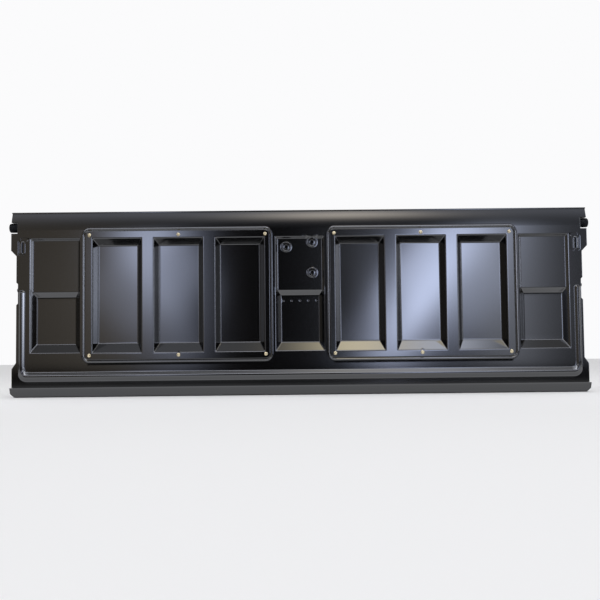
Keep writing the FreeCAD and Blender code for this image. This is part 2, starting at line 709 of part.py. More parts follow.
def make_parts():
    """Every piece of the gate by name, the left-hand ones as mirror images."""
    parts = {
        "inner_panel": make_inner_panel(),
        "outer_panel": make_outer_panel(),
        "bottom_rail": make_bottom_rail(),
    }
    paired = {
        "access_cover": make_right_cover(),
        "bumper": make_right_bumper(),
        "support_stud": make_right_stud(),
        "latch_bracket": make_right_latch_bracket(),
        "hinge_plate": make_right_hinge_plate(),
    }
    for place, x, z in cover_screw_places():
        paired[f"cover_screw_{place}"] = make_cover_screw(x, z)
    for name, shape in paired.items():
        parts[f"right_{name}"] = shape
        parts[f"left_{name}"] = mirrored(shape)
    return parts


os.makedirs("parts", exist_ok=True)
for node, solid in make_parts().items():
    solid.exportStep(f"parts/{node}.step")
    bounds = solid.BoundBox
    print(f"{node}: {solid.Volume / 1000.0:.1f} cm3, valid {solid.isValid()}, "
          f"x {bounds.XMin:.1f} to {bounds.XMax:.1f}, y {bounds.YMin:.1f} to {bounds.YMax:.1f}, "
          f"z {bounds.ZMin:.1f} to {bounds.ZMax:.1f}")
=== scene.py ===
"""Looks of a bare pickup tailgate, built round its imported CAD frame.

Lengths are millimetres in the classes and metres in the meshes. X runs along the gate, Z is up, and
"depth" is measured from the crest of the raised bead towards +Y.
"""

import json
import logging
import math
from dataclasses import dataclass, field
from enum import Enum

import bmesh
import bpy
import numpy as np
from mathutils import Matrix, Vector

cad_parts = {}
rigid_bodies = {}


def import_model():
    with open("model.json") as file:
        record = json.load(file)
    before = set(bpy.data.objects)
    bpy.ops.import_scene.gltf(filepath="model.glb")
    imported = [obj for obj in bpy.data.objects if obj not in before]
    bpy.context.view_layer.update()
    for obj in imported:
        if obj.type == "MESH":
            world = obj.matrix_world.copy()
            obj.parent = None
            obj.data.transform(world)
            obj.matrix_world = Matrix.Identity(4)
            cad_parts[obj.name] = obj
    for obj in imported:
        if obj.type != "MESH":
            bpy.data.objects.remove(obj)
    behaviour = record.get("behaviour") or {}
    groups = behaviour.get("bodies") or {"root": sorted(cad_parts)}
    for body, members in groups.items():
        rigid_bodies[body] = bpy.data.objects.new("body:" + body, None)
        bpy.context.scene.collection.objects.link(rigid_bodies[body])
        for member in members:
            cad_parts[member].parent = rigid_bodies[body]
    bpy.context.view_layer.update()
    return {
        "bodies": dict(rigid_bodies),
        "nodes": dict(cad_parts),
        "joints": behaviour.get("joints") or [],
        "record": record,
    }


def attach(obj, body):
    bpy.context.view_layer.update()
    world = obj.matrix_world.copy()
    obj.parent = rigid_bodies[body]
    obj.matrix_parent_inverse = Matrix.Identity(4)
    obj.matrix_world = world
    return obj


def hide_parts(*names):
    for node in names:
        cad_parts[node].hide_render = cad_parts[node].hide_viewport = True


MM = 0.001
FRONT_Y = -28.0
ROOT = "root"
LOG = logging.getLogger("tailgate")
Array = np.ndarray


class Side(Enum):
    """The two ends of the gate, as signs along X."""

    LEFT = -1.0
    RIGHT = 1.0

    @property
    def word(self) -> str:
        """The side's name as the nodes spell it."""
        return self.name.lower()


# Shape functions.


def ramp(value: Array, bend: float) -> Array:
    """Zero below 0 and the value itself above, with a parabolic bend between -bend and bend."""
    curve = (value + bend) ** 2 / (4.0 * bend)
    return np.where(value < -bend, 0.0, np.where(value < bend, curve, value))


def soft_step(value: Array, bend: float) -> Array:
    """Rises straight from 0 at 0 to 1 at 1, with a parabolic bend of the given half-width at both."""
    return ramp(value, bend) - ramp(value - 1.0, bend)


def soft_min(first: Array, second: Array, blend: float) -> Array:
    """The lesser of two arrays, rounded off where they differ by less than the blend."""
    near = np.maximum(blend - np.abs(first - second), 0.0)
    return np.minimum(first, second) - near * near / (4.0 * blend)


def soft_max(first: Array, second: Array, blend: float) -> Array:
    """The greater of two arrays, rounded off where they differ by less than the blend."""
    return -soft_min(-first, -second, blend)


def inside_box(x: Array, z: Array, box: tuple, radius: float) -> Array:
    """Distance inside a rounded rectangle (left, right, low, high), negative outside it.

    Beyond each straight side it is the distance to that side, and beyond a corner's centre it is
    the radius less the distance to that centre.
    """
    left, right, low, high = box
    over_x = np.abs(x - (left + right) / 2.0) - (right - left) / 2.0 + radius
    over_z = np.abs(z - (low + high) / 2.0) - (high - low) / 2.0 + radius
    corner = np.hypot(np.maximum(over_x, 0.0), np.maximum(over_z, 0.0))
    return radius - corner - np.minimum(np.maximum(over_x, over_z), 0.0)


def box_about(place: tuple) -> tuple:
    """The box (left, right, low, high) of a place given as (middle x, middle z, width, height)."""
    x, z, width, height = place
    return x - width / 2.0, x + width / 2.0, z - height / 2.0, z + height / 2.0


def grid_lines(low: float, high: float, coarse: float, bands: list) -> Array:
    """Grid lines from low to high, closer together inside each band.

    Args:
        low, high: the ends of the range.
        coarse: the widest spacing.
        bands: (start, stop, spacing) of each closer stretch.

    Returns:
        The lines in rising order. Each stretch between two band ends is divided evenly by the
        smallest spacing that covers it.
    """
    ends = [value for start, stop, _ in bands for value in (start, stop)]
    cuts = np.unique(np.round(np.clip([low, high, *ends], low, high), 4))
    parts = []
    for start, stop in zip(cuts[:-1], cuts[1:]):
        middle = (start + stop) / 2.0
        spacing = min([coarse] + [step for first, last, step in bands if first < middle < last])
        count = max(1, math.ceil((stop - start) / spacing - 1e-6))
        parts.append(np.linspace(start, stop, count, endpoint=False))
    return np.append(np.concatenate(parts), cuts[-1])


def corner_offsets(line: Array) -> Array:
    """Outward mitre vectors along an open (x, z) line whose outside is on its right.

    At each point the two neighbouring edge normals are added and divided by one plus their dot
    product, so that moving every point by its vector moves every edge out by one unit.
    """
    step = np.diff(line, axis=0)
    step /= np.linalg.norm(step, axis=1, keepdims=True)
    normal = np.stack([step[:, 1], -step[:, 0]], 1)
    before = np.vstack([normal[:1], normal])
    after = np.vstack([normal, normal[-1:]])
    dot = np.maximum((before * after).sum(1, keepdims=True), -0.6)
    return (before + after) / (1.0 + dot)


# Meshes.


@dataclass(frozen=True)
class Eye:
    """A hole or dimple let into a grid, as rings round a rectangular core.

    Each ring is (distance from the core, sink), and a closed eye ends in a middle point.
    """

    centre: tuple
    block: tuple
    rings: tuple
    core: tuple = (0.0, 0.0)
    closed: bool = False


class Grid:
    """Flat coordinates (u, v, sink) and faces of a sheet laid out on grid lines."""

    def __init__(self, across: Array, up: Array) -> None:
        """Starts with every face in place and no eyes."""
        self.across, self.up = across, up
        self.kept = np.ones((len(across) - 1, len(up) - 1), bool)
        u, v = np.meshgrid(across, up, indexing="ij")
        self.flat = [np.stack([u.ravel(), v.ravel(), np.zeros(u.size)], 1)]
        self.count = u.size
        self.added: list = []

    def cut(self, left: float, right: float, low: float, high: float) -> None:
        """Leaves out the faces inside a rectangle whose sides lie on grid lines."""
        across = slice(*np.searchsorted(self.across, [left - 1e-3, right - 1e-3]))
        up = slice(*np.searchsorted(self.up, [low - 1e-3, high - 1e-3]))
        self.kept[across, up] = False

    def let_in(self, eye: Eye) -> None:
        """Swaps the block of faces round an eye for its rings.

        The block's border points are carried along straight rays from the core, which gives each
        ring as many points as the border has.
        """
        first = [int(np.abs(self.across - (eye.centre[0] + s * eye.block[0])).argmin()) for s in (-1, 1)]
        last = [int(np.abs(self.up - (eye.centre[1] + s * eye.block[1])).argmin()) for s in (-1, 1)]
        (left, right), (low, high) = first, last
        self.kept[left:right, low:high] = False
        rows = len(self.up)
        border = np.concatenate([
            np.arange(left, right) * rows + low,
            right * rows + np.arange(low, high),
            np.arange(right, left, -1) * rows + high,
            left * rows + np.arange(high, low, -1),
        ])
        place = self.flat[0][border, :2]
        core = np.array(eye.core)
        foot = np.array(eye.centre) + np.clip(place - eye.centre, -core, core)
        ray = place - foot
        ray /= np.linalg.norm(ray, axis=1, keepdims=True)
        outer = border
        for reach, sink in eye.rings:
            ring = self.count + np.arange(len(border))
            self.flat.append(np.column_stack([foot + ray * reach, np.full(len(border), sink)]))
            self.count += len(border)
            self.added.append(np.stack([outer, np.roll(outer, -1), np.roll(ring, -1), ring], 1))
            outer = ring
        if eye.closed:
            self.flat.append(np.array([[*eye.centre, eye.rings[-1][1]]]))
            middle = np.full(len(border), self.count)
            self.added.append(np.stack([outer, np.roll(outer, -1), middle], 1))
            self.count += 1

    def layout(self) -> tuple:
        """The flat coordinates of all points, and all faces as arrays of point numbers."""
        rows = len(self.up)
        i, j = np.nonzero(self.kept)
        corner = i * rows + j
        quads = np.stack([corner, corner + rows, corner + rows + 1, corner + 1], 1)
        return np.concatenate(self.flat), [quads, *self.added]


class Shell:
    """Collects the sheets of one piece and makes its object."""

    def __init__(self) -> None:
        """Starts with no points."""
        self.points: list = []
        self.faces: list = []
        self.count = 0

    def add(self, points: Array, faces: list, turned: bool = False) -> None:
        """Adds points in millimetres (x, depth, z) and their faces, turned over if asked."""
        for group in faces:
            group = group + self.count
            self.faces += (group[:, ::-1] if turned else group).tolist()
        self.points.append(points)
        self.count += len(points)

    def add_strip(self, rows: Array, turned: bool = False, closed: bool = False) -> None:
        """Adds a strip through rows of points, an array of shape (rows, points, 3)."""
        lines, length, _ = rows.shape
        if closed:
            rows = np.concatenate([rows, rows[:, :1]], 1)
            length += 1
        i, j = np.meshgrid(np.arange(lines - 1), np.arange(length - 1), indexing="ij")
        corner = (i * length + j).ravel()
        quads = np.stack([corner, corner + length, corner + length + 1, corner + 1], 1)
        self.add(rows.reshape(-1, 3), [quads], turned)

    def add_fan(self, ring: Array, turned: bool = False) -> None:
        """Closes a ring of points with a fan from its mean point."""
        count = len(ring)
        here = np.arange(count)
        fan = np.stack([here, np.roll(here, -1), np.full(count, count)], 1)
        self.add(np.vstack([ring, ring.mean(0)]), [fan], turned)

    def make(self, name: str, smooth_below: float = 32.0) -> bpy.types.Object:
        """Welds the sheets into one object with smooth faces and sharp folds.

        Args:
            name: the piece's name.
            smooth_below: the fold, in degrees, above which an edge stays sharp.

        Returns:
            The object, at the origin.
        """
        points = np.concatenate(self.points)
        points = (points + [0.0, FRONT_Y, 0.0]) * MM
        mesh = bpy.data.meshes.new(name)
        mesh.from_pydata(points.tolist(), [], self.faces)
        work = bmesh.new()
        work.from_mesh(mesh)
        bmesh.ops.remove_doubles(work, verts=work.verts, dist=2e-5)
        work.to_mesh(mesh)
        work.free()
        mesh.polygons.foreach_set("use_smooth", np.ones(len(mesh.polygons), bool))
        mesh.set_sharp_from_angle(angle=math.radians(smooth_below))
        mesh.update()
        piece = bpy.data.objects.new(name, mesh)
        bpy.context.scene.collection.objects.link(piece)
        return piece


def lathe(profile: Array, turns: int) -> Array:
    """Rows of a turned shape: each (radius, height) of the profile carried round a circle.

    Returns:
        An array of shape (profile points, turns, 3) with the axis along the last coordinate.
    """
    angle = np.linspace(0.0, 2.0 * math.pi, turns, endpoint=False)
    radius, height = profile[:, :1], profile[:, 1:]
    return np.stack([radius * np.cos(angle), radius * np.sin(angle), height + 0.0 * angle], 2)


def stand_out(profile: list, turns: int, side: Side, seat: float, z: float) -> Shell:
    """A turned piece that stands out of a side wall, closed at both ends.

    Args:
        profile: (radius, height over the seat) from the end inside the gate to the outer end.
        turns: points round the circle.
        side: the end of the gate that it stands on.
        seat: distance of the seat from the middle of the gate.
        z: height of its axis.
    """
    rows = lathe(np.array(profile), turns)
    points = np.stack([(seat + rows[:, :, 2]) * side.value, SIZES.bolt_depth + rows[:, :, 0],
                       z + rows[:, :, 1]], 2)
    shell = Shell()
    turned = side is Side.LEFT
    shell.add_strip(points, closed=True, turned=not turned)
    shell.add_fan(points[-1], turned=not turned)
    shell.add_fan(points[0], turned=turned)
    return shell


# Materials.


def linear(colour: str) -> tuple:
    """An sRGB hex colour as linear RGBA."""
    parts = [int(colour[i:i + 2], 16) / 255.0 for i in (1, 3, 5)]
    return (*[c / 12.92 if c <= 0.04045 else ((c + 0.055) / 1.055) ** 2.4 for c in parts], 1.0)


def add_node(tree: bpy.types.NodeTree, kind: str, links: dict | None = None,
             **settings) -> bpy.types.Node:
    """Adds one node with its settings, socket values and links.

    Args:
        tree: the node tree.
        kind: the node's type name.
        links: socket name to a value, or to another node's output socket.
        settings: attributes of the node itself.

    Returns:
        The new node.
    """
    node = tree.nodes.new(kind)
    for name, value in settings.items():
        setattr(node, name, value)
    for name, value in (links or {}).items():
        if isinstance(value, bpy.types.NodeSocket):
            tree.links.new(value, node.inputs[name])
        else:
            node.inputs[name].default_value = value
    return node


@dataclass(frozen=True)
class Finish:
    """A real material and what its surface shows, with pattern sizes in millimetres."""

    name: str
    colour: str
    roughness: float
    metallic: float = 0.0
    ior: float = 1.5
    grain: float = 1.0
    grain_height: float = 0.0
    cloud: float = 120.0
    cloud_roughness: float = 0.0
    second_colour: str = ""

    def make(self) -> bpy.types.Material:
        """Builds the material: colour and gloss vary in clouds, and a fine grain gives the bump."""
        material = bpy.data.materials.new(self.name)
        material.use_nodes = True
        tree = material.node_tree
        tree.nodes.clear()
        place = add_node(tree, "ShaderNodeTexCoord").outputs["Object"]
        cloud = add_node(tree, "ShaderNodeTexNoise", {
            "Vector": place, "Scale": 1000.0 / self.cloud, "Detail": 3.0})
        fleck = add_node(tree, "ShaderNodeTexNoise", {
            "Vector": place, "Scale": 1000.0 / self.grain, "Detail": 2.0})
        gloss = add_node(tree, "ShaderNodeMapRange", {
            "Value": cloud.outputs["Fac"], "From Min": 0.3, "From Max": 0.7,
            "To Min": self.roughness - self.cloud_roughness,
            "To Max": self.roughness + self.cloud_roughness})
        tint = add_node(tree, "ShaderNodeMix", {"Factor": cloud.outputs["Fac"]}, data_type="RGBA")
        tint.inputs["A"].default_value = linear(self.colour)
        tint.inputs["B"].default_value = linear(self.second_colour or self.colour)
        bump = add_node(tree, "ShaderNodeBump", {
            "Height": fleck.outputs["Fac"], "Distance": self.grain_height * MM})
        shader = add_node(tree, "ShaderNodeBsdfPrincipled", {
            "Base Color": tint.outputs["Result"], "Roughness": gloss.outputs["Result"],
            "Normal": bump.outputs["Normal"], "Metallic": self.metallic, "IOR": self.ior})
        add_node(tree, "ShaderNodeOutputMaterial", {"Surface": shader.outputs["BSDF"]})
        return material


# Dipped epoxy primer, cured in an oven: near-black and glossy, with a faint orange peel.
PRIMER = Finish("black_electrocoat_primer", "#050506", 0.078, ior=1.7, grain=2.6, grain_height=0.001,
                cloud=160.0, cloud_roughness=0.006, second_colour="#060607")
# Zinc plate with a yellow passivate: a soft metallic straw colour with a little drift.
YELLOW_ZINC = Finish("yellow_zinc_plated_steel", "#cdbf9a", 0.34, metallic=1.0, grain=0.8,
                     grain_height=0.004, cloud=6.0, cloud_roughness=0.06, second_colour="#bdb094")
# Zinc plate with a black passivate, slightly glossy.
BLACK_ZINC = Finish("black_zinc_plated_steel", "#17171a", 0.35, metallic=1.0, grain=0.8,
                    grain_height=0.004, cloud=6.0, cloud_roughness=0.06, second_colour="#1e1f22")
# Moulded natural rubber: matte, with a fine mould texture.
RUBBER = Finish("moulded_rubber", "#050609", 0.7, ior=1.25, grain=0.9, grain_height=0.03,
                cloud=9.0, cloud_roughness=0.06, second_colour="#0a0b0e")


class Paints:
    """Makes each finish once and puts it on pieces."""

    def __init__(self) -> None:
        """Starts with nothing made."""
        self.made: dict = {}

    def coat(self, piece: bpy.types.Object, finish: Finish) -> None:
        """Gives a piece one finish all over."""
        if finish.name not in self.made:
            self.made[finish.name] = finish.make()
        piece.data.materials.clear()
        piece.data.materials.append(self.made[finish.name])


# The gate.


@dataclass(frozen=True)
class GateSizes:
    """Sizes that the sheets of the gate share."""

    height: float = 528.0
    rail_half: float = 829.0
    rail_height: float = 28.0
    rail_end_cut: float = 11.0
    ear_half: float = 823.5
    ear_top_half: float = 821.0
    neck_half: float = 808.0
    lower_ear_half: float = 820.0
    lower_ear: tuple = (82.0, 99.0)
    stud_bay_half: float = 803.5
    stud_bay: tuple = (263.0, 268.0, 322.0, 327.0)
    neck_top: float = 402.0
    ear_bottom: float = 418.0
    bay_half: float = 806.0
    bay: tuple = (468.0, 498.0)
    face: float = 6.0
    back: float = 51.0
    crown: float = 5.0
    lean_start: float = 476.0
    lean_back: float = 6.0
    lean_share: float = 0.45
    rail_top: float = 24.5
    rail_slope: float = 0.48
    rail_bend: float = 3.5
    skin: float = 0.8
    sheet: float = 1.0
    bolt_depth: float = 26.0
    stud_z: float = 306.0
    bumper_z: float = 485.2

    def outline(self, low: float) -> Array:
        """Right-hand outline of the gate as (x, z) corners, from a low height to the top."""
        corners = [(self.lower_ear_half, low), (self.lower_ear_half, self.lower_ear[0])]
        corners += [(self.neck_half, self.lower_ear[1])]
        corners += list(zip((self.neck_half, self.stud_bay_half, self.stud_bay_half, self.neck_half),
                            self.stud_bay))
        corners += [(self.neck_half, self.neck_top), (self.ear_half, self.ear_bottom)]
        corners += [(self.ear_half, self.bay[0]), (self.bay_half, self.bay[0]),
                    (self.bay_half, self.bay[1]), (self.ear_half, self.bay[1]),
                    (self.ear_top_half, self.height)]
        return np.array(corners)

    def front_depth(self, z: Array) -> Array:
        """Depth of the pressed face: it curls back towards the top edge and bends back at the rail.

        The top band follows a parabola that reaches the full lean at the top edge.
        """
        top = np.clip((z - self.lean_start) / (self.height - self.lean_start), 0.0, 1.2)
        return (self.face + self.lean_back * top * (self.lean_share + (1.0 - self.lean_share) * top)
                + self.rail_slope * ramp(self.rail_top - z, self.rail_bend))

    def back_depth(self, z: Array) -> Array:
        """Depth of the crowned outer skin, an arc from the foot to the top edge."""
        half = self.height / 2.0
        radius = (half * half + self.crown * self.crown) / (2.0 * self.crown)
        return self.back + self.crown - radius + np.sqrt(radius * radius - (z - half) ** 2)


SIZES = GateSizes()


class Edge:
    """One end outline of a sheet, moved in by a bend radius, with heights turned to places."""

    def __init__(self, corners: Array, inset: float) -> None:
        """Moves the corners in and parts any two that share a height, so that heights rise."""
        moved = corners - inset * corner_offsets(corners)
        moved[0, 1], moved[-1, 1] = corners[0, 1], corners[-1, 1]
        level = np.diff(moved[:, 1], prepend=-1e3) < 1e-6
        moved[level, 1] += 0.2
        self.corners = moved

    def half_width(self, z: Array) -> Array:
        """Distance from the middle of the gate to the outline at each height."""
        return np.interp(z, self.corners[:, 1], self.corners[:, 0])

    def bands(self) -> list:
        """Grid bands that put a line on each corner's height."""
        heights = self.corners[:, 1]
        return [(low, high, 1e3) for low, high in zip(heights[:-1], heights[1:])]

    def line(self, z: Array) -> Array:
        """The outline as (x, z) points at the given heights."""
        return np.stack([self.half_width(z), z], 1)


@dataclass(frozen=True)
class ColumnRecess:
    """A stepped column pressed into the inner panel."""

    inner: float
    outer: float
    top: float = 452.5
    bottom: float = 125.0
    ledge: float = 298.5
    upper_depth: float = 8.0
    lower_depth: float = 20.0
    side_draft: float = 0.78
    top_draft: float = 0.8
    upper_draft: float = 0.8
    ledge_draft: float = 1.14
    bottom_draft: float = 1.25
    bend: float = 1.1

    def frustum(self, x: Array, z: Array, low: float, high: float, reach: float, drafts: tuple) -> Array:
        """Depth of one straight-sided recess with its own draft at the sides, foot and top.

        The depth grows by the distance in from each side over that side's draft, the least of them
        holds, and it stops at the floor.
        """
        side, foot, top = drafts
        grown = soft_min((x - self.inner) / side, (self.outer - x) / side, self.bend)
        grown = soft_min(grown, (high - z) / top, self.bend)
        if foot:
            grown = soft_min(grown, (z - low) / foot, self.bend)
        return reach * soft_step(grown / reach, self.bend / reach)

    def depth(self, x: Array, z: Array) -> Array:
        """Depth below the face: the greater of the wide upper step and the deep lower step."""
        upper = self.frustum(x, z, self.ledge - 13.2, self.top, self.upper_depth,
                             (self.upper_draft, 0.0, self.top_draft))
        upper = upper * soft_step((z - self.ledge + 13.2) / 6.0 + 0.5, 0.3)
        lower = self.frustum(x, z, self.bottom, self.ledge + self.ledge_draft * self.upper_depth,
                             self.lower_depth, (self.side_draft, self.bottom_draft, self.ledge_draft))
        return soft_max(upper, lower, 0.8)

    def across_bands(self) -> list:
        """Grid bands over the two side slopes."""
        run = self.side_draft * self.lower_depth
        return [(self.inner - 2.5, self.inner + run + 2.5, 1.25),
                (self.outer - run - 2.5, self.outer + 2.5, 1.25)]


@dataclass
class InnerPanel:
    """The pressed inner panel with its recesses, bead, pads and holes."""

    bend: float = 1.8
    wall_depth: float = 50.0
    cover: tuple = (84.5, 614.0, 103.5, 474.0)
    cover_radius: float = 15.0
    centre_column: float = 70.0
    side_column: tuple = (626.0, 768.0)
    joggle_start: float = 2.0
    joggle_run: float = 2.6
    joggle_depth: float = 2.5
    lip_rise: float = 0.9
    lip_place: float = 3.6
    lip_width: float = 1.6
    opening: tuple = (99.65, 593.35, 122.9, 453.6)
    bead_outer: tuple = (800.0, 46.5, 304.0)
    bead_side: float = 17.5
    bead_foot: float = 25.0
    bead_run: float = 6.0
    bead_foot_run: float = 10.0
    bead_height: float = 6.0
    pad: tuple = (790.3, 426.0, 23.0, 43.0)
    pad_sink: float = 0.9
    ridge: tuple = (788.6, 425.0, 14.6, 39.0)
    ridge_rise: float = 2.4
    dent: tuple = (785.5, 449.5, 19.0, 10.0)
    dent_sink: float = 1.6
    slot_core: float = 13.0
    slot_radius: float = 2.5
    rings: tuple = ((-38.5, 422.5), (35.0, 436.0), (35.0, 348.5))
    ring_profile: tuple = (
        (17.0, 0.0), (15.5, -0.2), (14.4, -1.4), (13.4, -2.0), (11.4, -2.0), (10.4, -1.5),
        (9.6, 0.3), (8.8, 0.9), (7.8, 0.8), (7.0, 0.1), (6.2, 0.0), (5.5, 0.5))
    cup: float = 28.0
    dots: tuple = (-47.5, -24.5, 0.0, 24.0, 47.0)
    dots_z: float = 268.5
    dot_profile: tuple = ((4.4, 0.0), (2.8, 0.0), (2.3, 0.15), (1.9, 0.5), (1.5, 0.9))
    bolt_holes: tuple = ((3.5, 429.0), (3.5, 455.0), (4.5, 41.0), (4.5, 69.0))
    wall_start: float = 8.0
    edge: Edge = field(init=False)
    columns: tuple = field(init=False)

    def __post_init__(self) -> None:
        """Works out the end outline and the columns."""
        corners = SIZES.outline(SIZES.rail_height)
        corners = corners - SIZES.skin * corner_offsets(corners)
        corners[0, 1], corners[-1, 1] = SIZES.rail_height, SIZES.height - SIZES.skin
        self.edge = Edge(corners, self.bend)
        inner, outer = self.side_column
        self.columns = (ColumnRecess(-self.centre_column, self.centre_column), ColumnRecess(inner, outer),
                        ColumnRecess(-outer, -inner))

    def bead_lift(self, x: Array, z: Array) -> Array:
        """Height of the raised bead: distance inside its U over the run, up to the crest.

        The U is what lies inside an outer rounded rectangle and outside an inner one.
        """
        half, low, high = self.bead_outer
        foot = inside_box(x, z, (-half, half, low, high + 80.0), 24.0)
        top = inside_box(x, z, (-half, half, low - 80.0, high), 7.0)
        side = half - self.bead_side
        within = inside_box(x, z, (-side, side, low + self.bead_foot, high + 80.0), 9.0)
        end = inside_box(np.abs(x), z, (side, half, low - 80.0, high), 7.0)
        legs = np.where(z > low + self.bead_foot + 30.0, np.minimum(end, top), top)
        reach = np.minimum(np.minimum(foot, legs), -within)
        widening = np.clip((low + self.bead_foot + 8.0 - z) / 14.0, 0.0, 1.0)
        run = self.bead_run + (self.bead_foot_run - self.bead_run) * widening
        return self.bead_height * soft_step(reach / run, 0.16)

    def pad_sinks(self, x: Array, z: Array) -> Array:
        """Depth of the shallow pads in the ears, less the ridge round each slot."""
        x = np.abs(x)
        sink = self.pad_sink * soft_step(inside_box(x, z, box_about(self.pad), 3.5) / 2.0, 0.3)
        within = inside_box(x, z, box_about(self.ridge), 7.4)
        sink = sink - self.ridge_rise * soft_step(within / 2.8, 0.3)
        within = inside_box(x, z, box_about(self.dent), self.dent[3] / 2.0)
        floor = soft_step(within / 1.8, 0.3) - 0.6 * soft_step((within - 2.6) / 1.6, 0.3)
        return soft_max(sink, self.dent_sink * floor, 0.3)

    def joggle(self, x: Array, z: Array) -> Array:
        """Depth of the two stepped recesses that the covers lie in, each with a low lip round it."""
        within = inside_box(np.abs(x), z, self.cover, self.cover_radius)
        lip = self.lip_rise * np.exp(-((within + self.lip_place) / self.lip_width) ** 2)
        step = soft_step((within + self.joggle_start) / self.joggle_run, 0.3)
        return self.joggle_depth * step - lip

    def waves(self, x: Array, z: Array) -> Array:
        """Slight springback waves of the pressed sheet, some tenths of a millimetre high."""
        return (0.10 * np.sin(x / 173.0 + 0.6) * np.sin(z / 61.0 + 1.0)
                + 0.06 * np.sin(x / 67.0 + z / 90.0))

    def depth(self, x: Array, z: Array) -> Array:
        """Depth of the face anywhere on the panel."""
        depth = SIZES.front_depth(z) + self.waves(x, z)
        for column in self.columns:
            depth = depth + column.depth(x, z)
        depth = depth + self.joggle(x, z) - self.bead_lift(x, z) + self.pad_sinks(x, z)
        for cx, cz in self.rings:
            radius, rise = np.array(self.ring_profile[::-1]).T
            depth = depth + np.interp(np.hypot(x - cx, z - cz), radius, rise)
        for cx in self.dots:
            radius, rise = np.array(self.dot_profile[::-1]).T
            depth = depth + np.interp(np.hypot(x - cx, z - self.dots_z), radius, rise)
        return depth

    def lines(self) -> tuple:
        """The grid's lines across and up."""
        left, right, low, high = self.cover
        radius = self.cover_radius
        half, bead_low, bead_high = self.bead_outer
        side = [(left - 7.0, left + 3.0, 0.85), (left + 3.0, left + radius, 2.0),
                (right - radius, right - 3.0, 2.0), (right - 3.0, right + 7.0, 0.85),
                (half - 22.0, half + 1.0, 0.75), (half + 1.0, 809.0, 2.0), (809.0, SIZES.rail_half, 5.0),
                (self.opening[0], self.opening[1], 1e3)]
        for column in self.columns[:2]:
            side += column.across_bands()
        across = side + [(-stop, -start, step) for start, stop, step in side]
        for cx, _ in self.rings:
            across += [(cx - 19.5, cx + 19.5, 3.0)]
        for cx in self.dots:
            across += [(cx - 6.0, cx + 6.0, 3.0)]
        column = self.columns[0]
        up = [(bead_low - 2.0, bead_low + self.bead_foot + 4.0, 0.8), (low - 7.0, low + 3.0, 0.95),
              (low + 3.0, low + radius, 2.0), (high - radius, high - 3.0, 2.0),
              (high - 3.0, high + 7.0, 0.95), (high + 7.0, SIZES.height, 3.0),
              (SIZES.rail_height, SIZES.rail_height + 10.0, 2.0),
              (column.bottom - 2.0, column.bottom + 27.0, 1.3),
              (column.ledge - 15.0, column.ledge + 11.0, 1.1),
              (bead_high - 8.0, bead_high + 2.0, 1.0), (column.top - 11.0, column.top + 2.0, 1.0),
              (401.0, 457.0, 1.7), (self.dots_z - 6.0, self.dots_z + 6.0, 3.0),
              (self.opening[2], self.opening[3], 1e3)]
        up += [(cz - 19.5, cz + 19.5, 3.0) for _, cz in self.rings]
        edge = self.edge.corners[:, 1]
        up += self.edge.bands()
        return (grid_lines(-SIZES.rail_half, SIZES.rail_half, 14.0, across),
                grid_lines(edge[0], edge[-1], 14.0, up))

    def face_points(self, flat: Array, lift: float = 0.0) -> Array:
        """Points of the face from flat coordinates, kept inside the end outlines."""
        reach = self.edge.half_width(flat[:, 1])
        x = np.clip(flat[:, 0], -reach, reach)
        z = flat[:, 1]
        return np.stack([x, self.depth(x, z) + flat[:, 2] + lift, z], 1)

    def face(self, shell: Shell) -> Array:
        """Adds the face with its holes. Returns the heights of its lines."""
        across, up = self.lines()
        grid = Grid(across, up)
        left, right, low, high = self.opening
        grid.cut(left, right, low, high)
        grid.cut(-right, -left, low, high)
        for centre in self.rings:
            rings = [(radius, 0.0) for radius, _ in self.ring_profile]
            rings += [(5.4, 1.0), (5.2, self.cup - 1.0), (4.4, self.cup), (0.6, self.cup)]
            rings = [(18.3, 0.0), *rings]
            grid.let_in(Eye(centre, (19.5, 19.5), tuple(rings), closed=True))
        for cx in self.dots:
            rings = [(radius, 0.0) for radius, _ in self.dot_profile]
            rings += [(1.4, 1.6), (0.3, 2.0)]
            grid.let_in(Eye((cx, self.dots_z), (6.0, 6.0), tuple(rings), closed=True))
        for side in Side:
            cx, cz = side.value * self.ridge[0], self.ridge[1]
            reach = self.slot_radius
            rings = ((7.4, 0.0), (6.4, 0.0), (5.4, 0.0), (4.4, 0.0), (reach + 0.7, 0.0),
                     (reach + 0.1, 0.3), (reach, 1.0), (reach, 3.4))
            grid.let_in(Eye((cx, cz), (9.5, 22.5), rings, core=(0.0, self.slot_core)))
        flat, faces = grid.layout()
        shell.add(self.face_points(flat), faces)
        return up

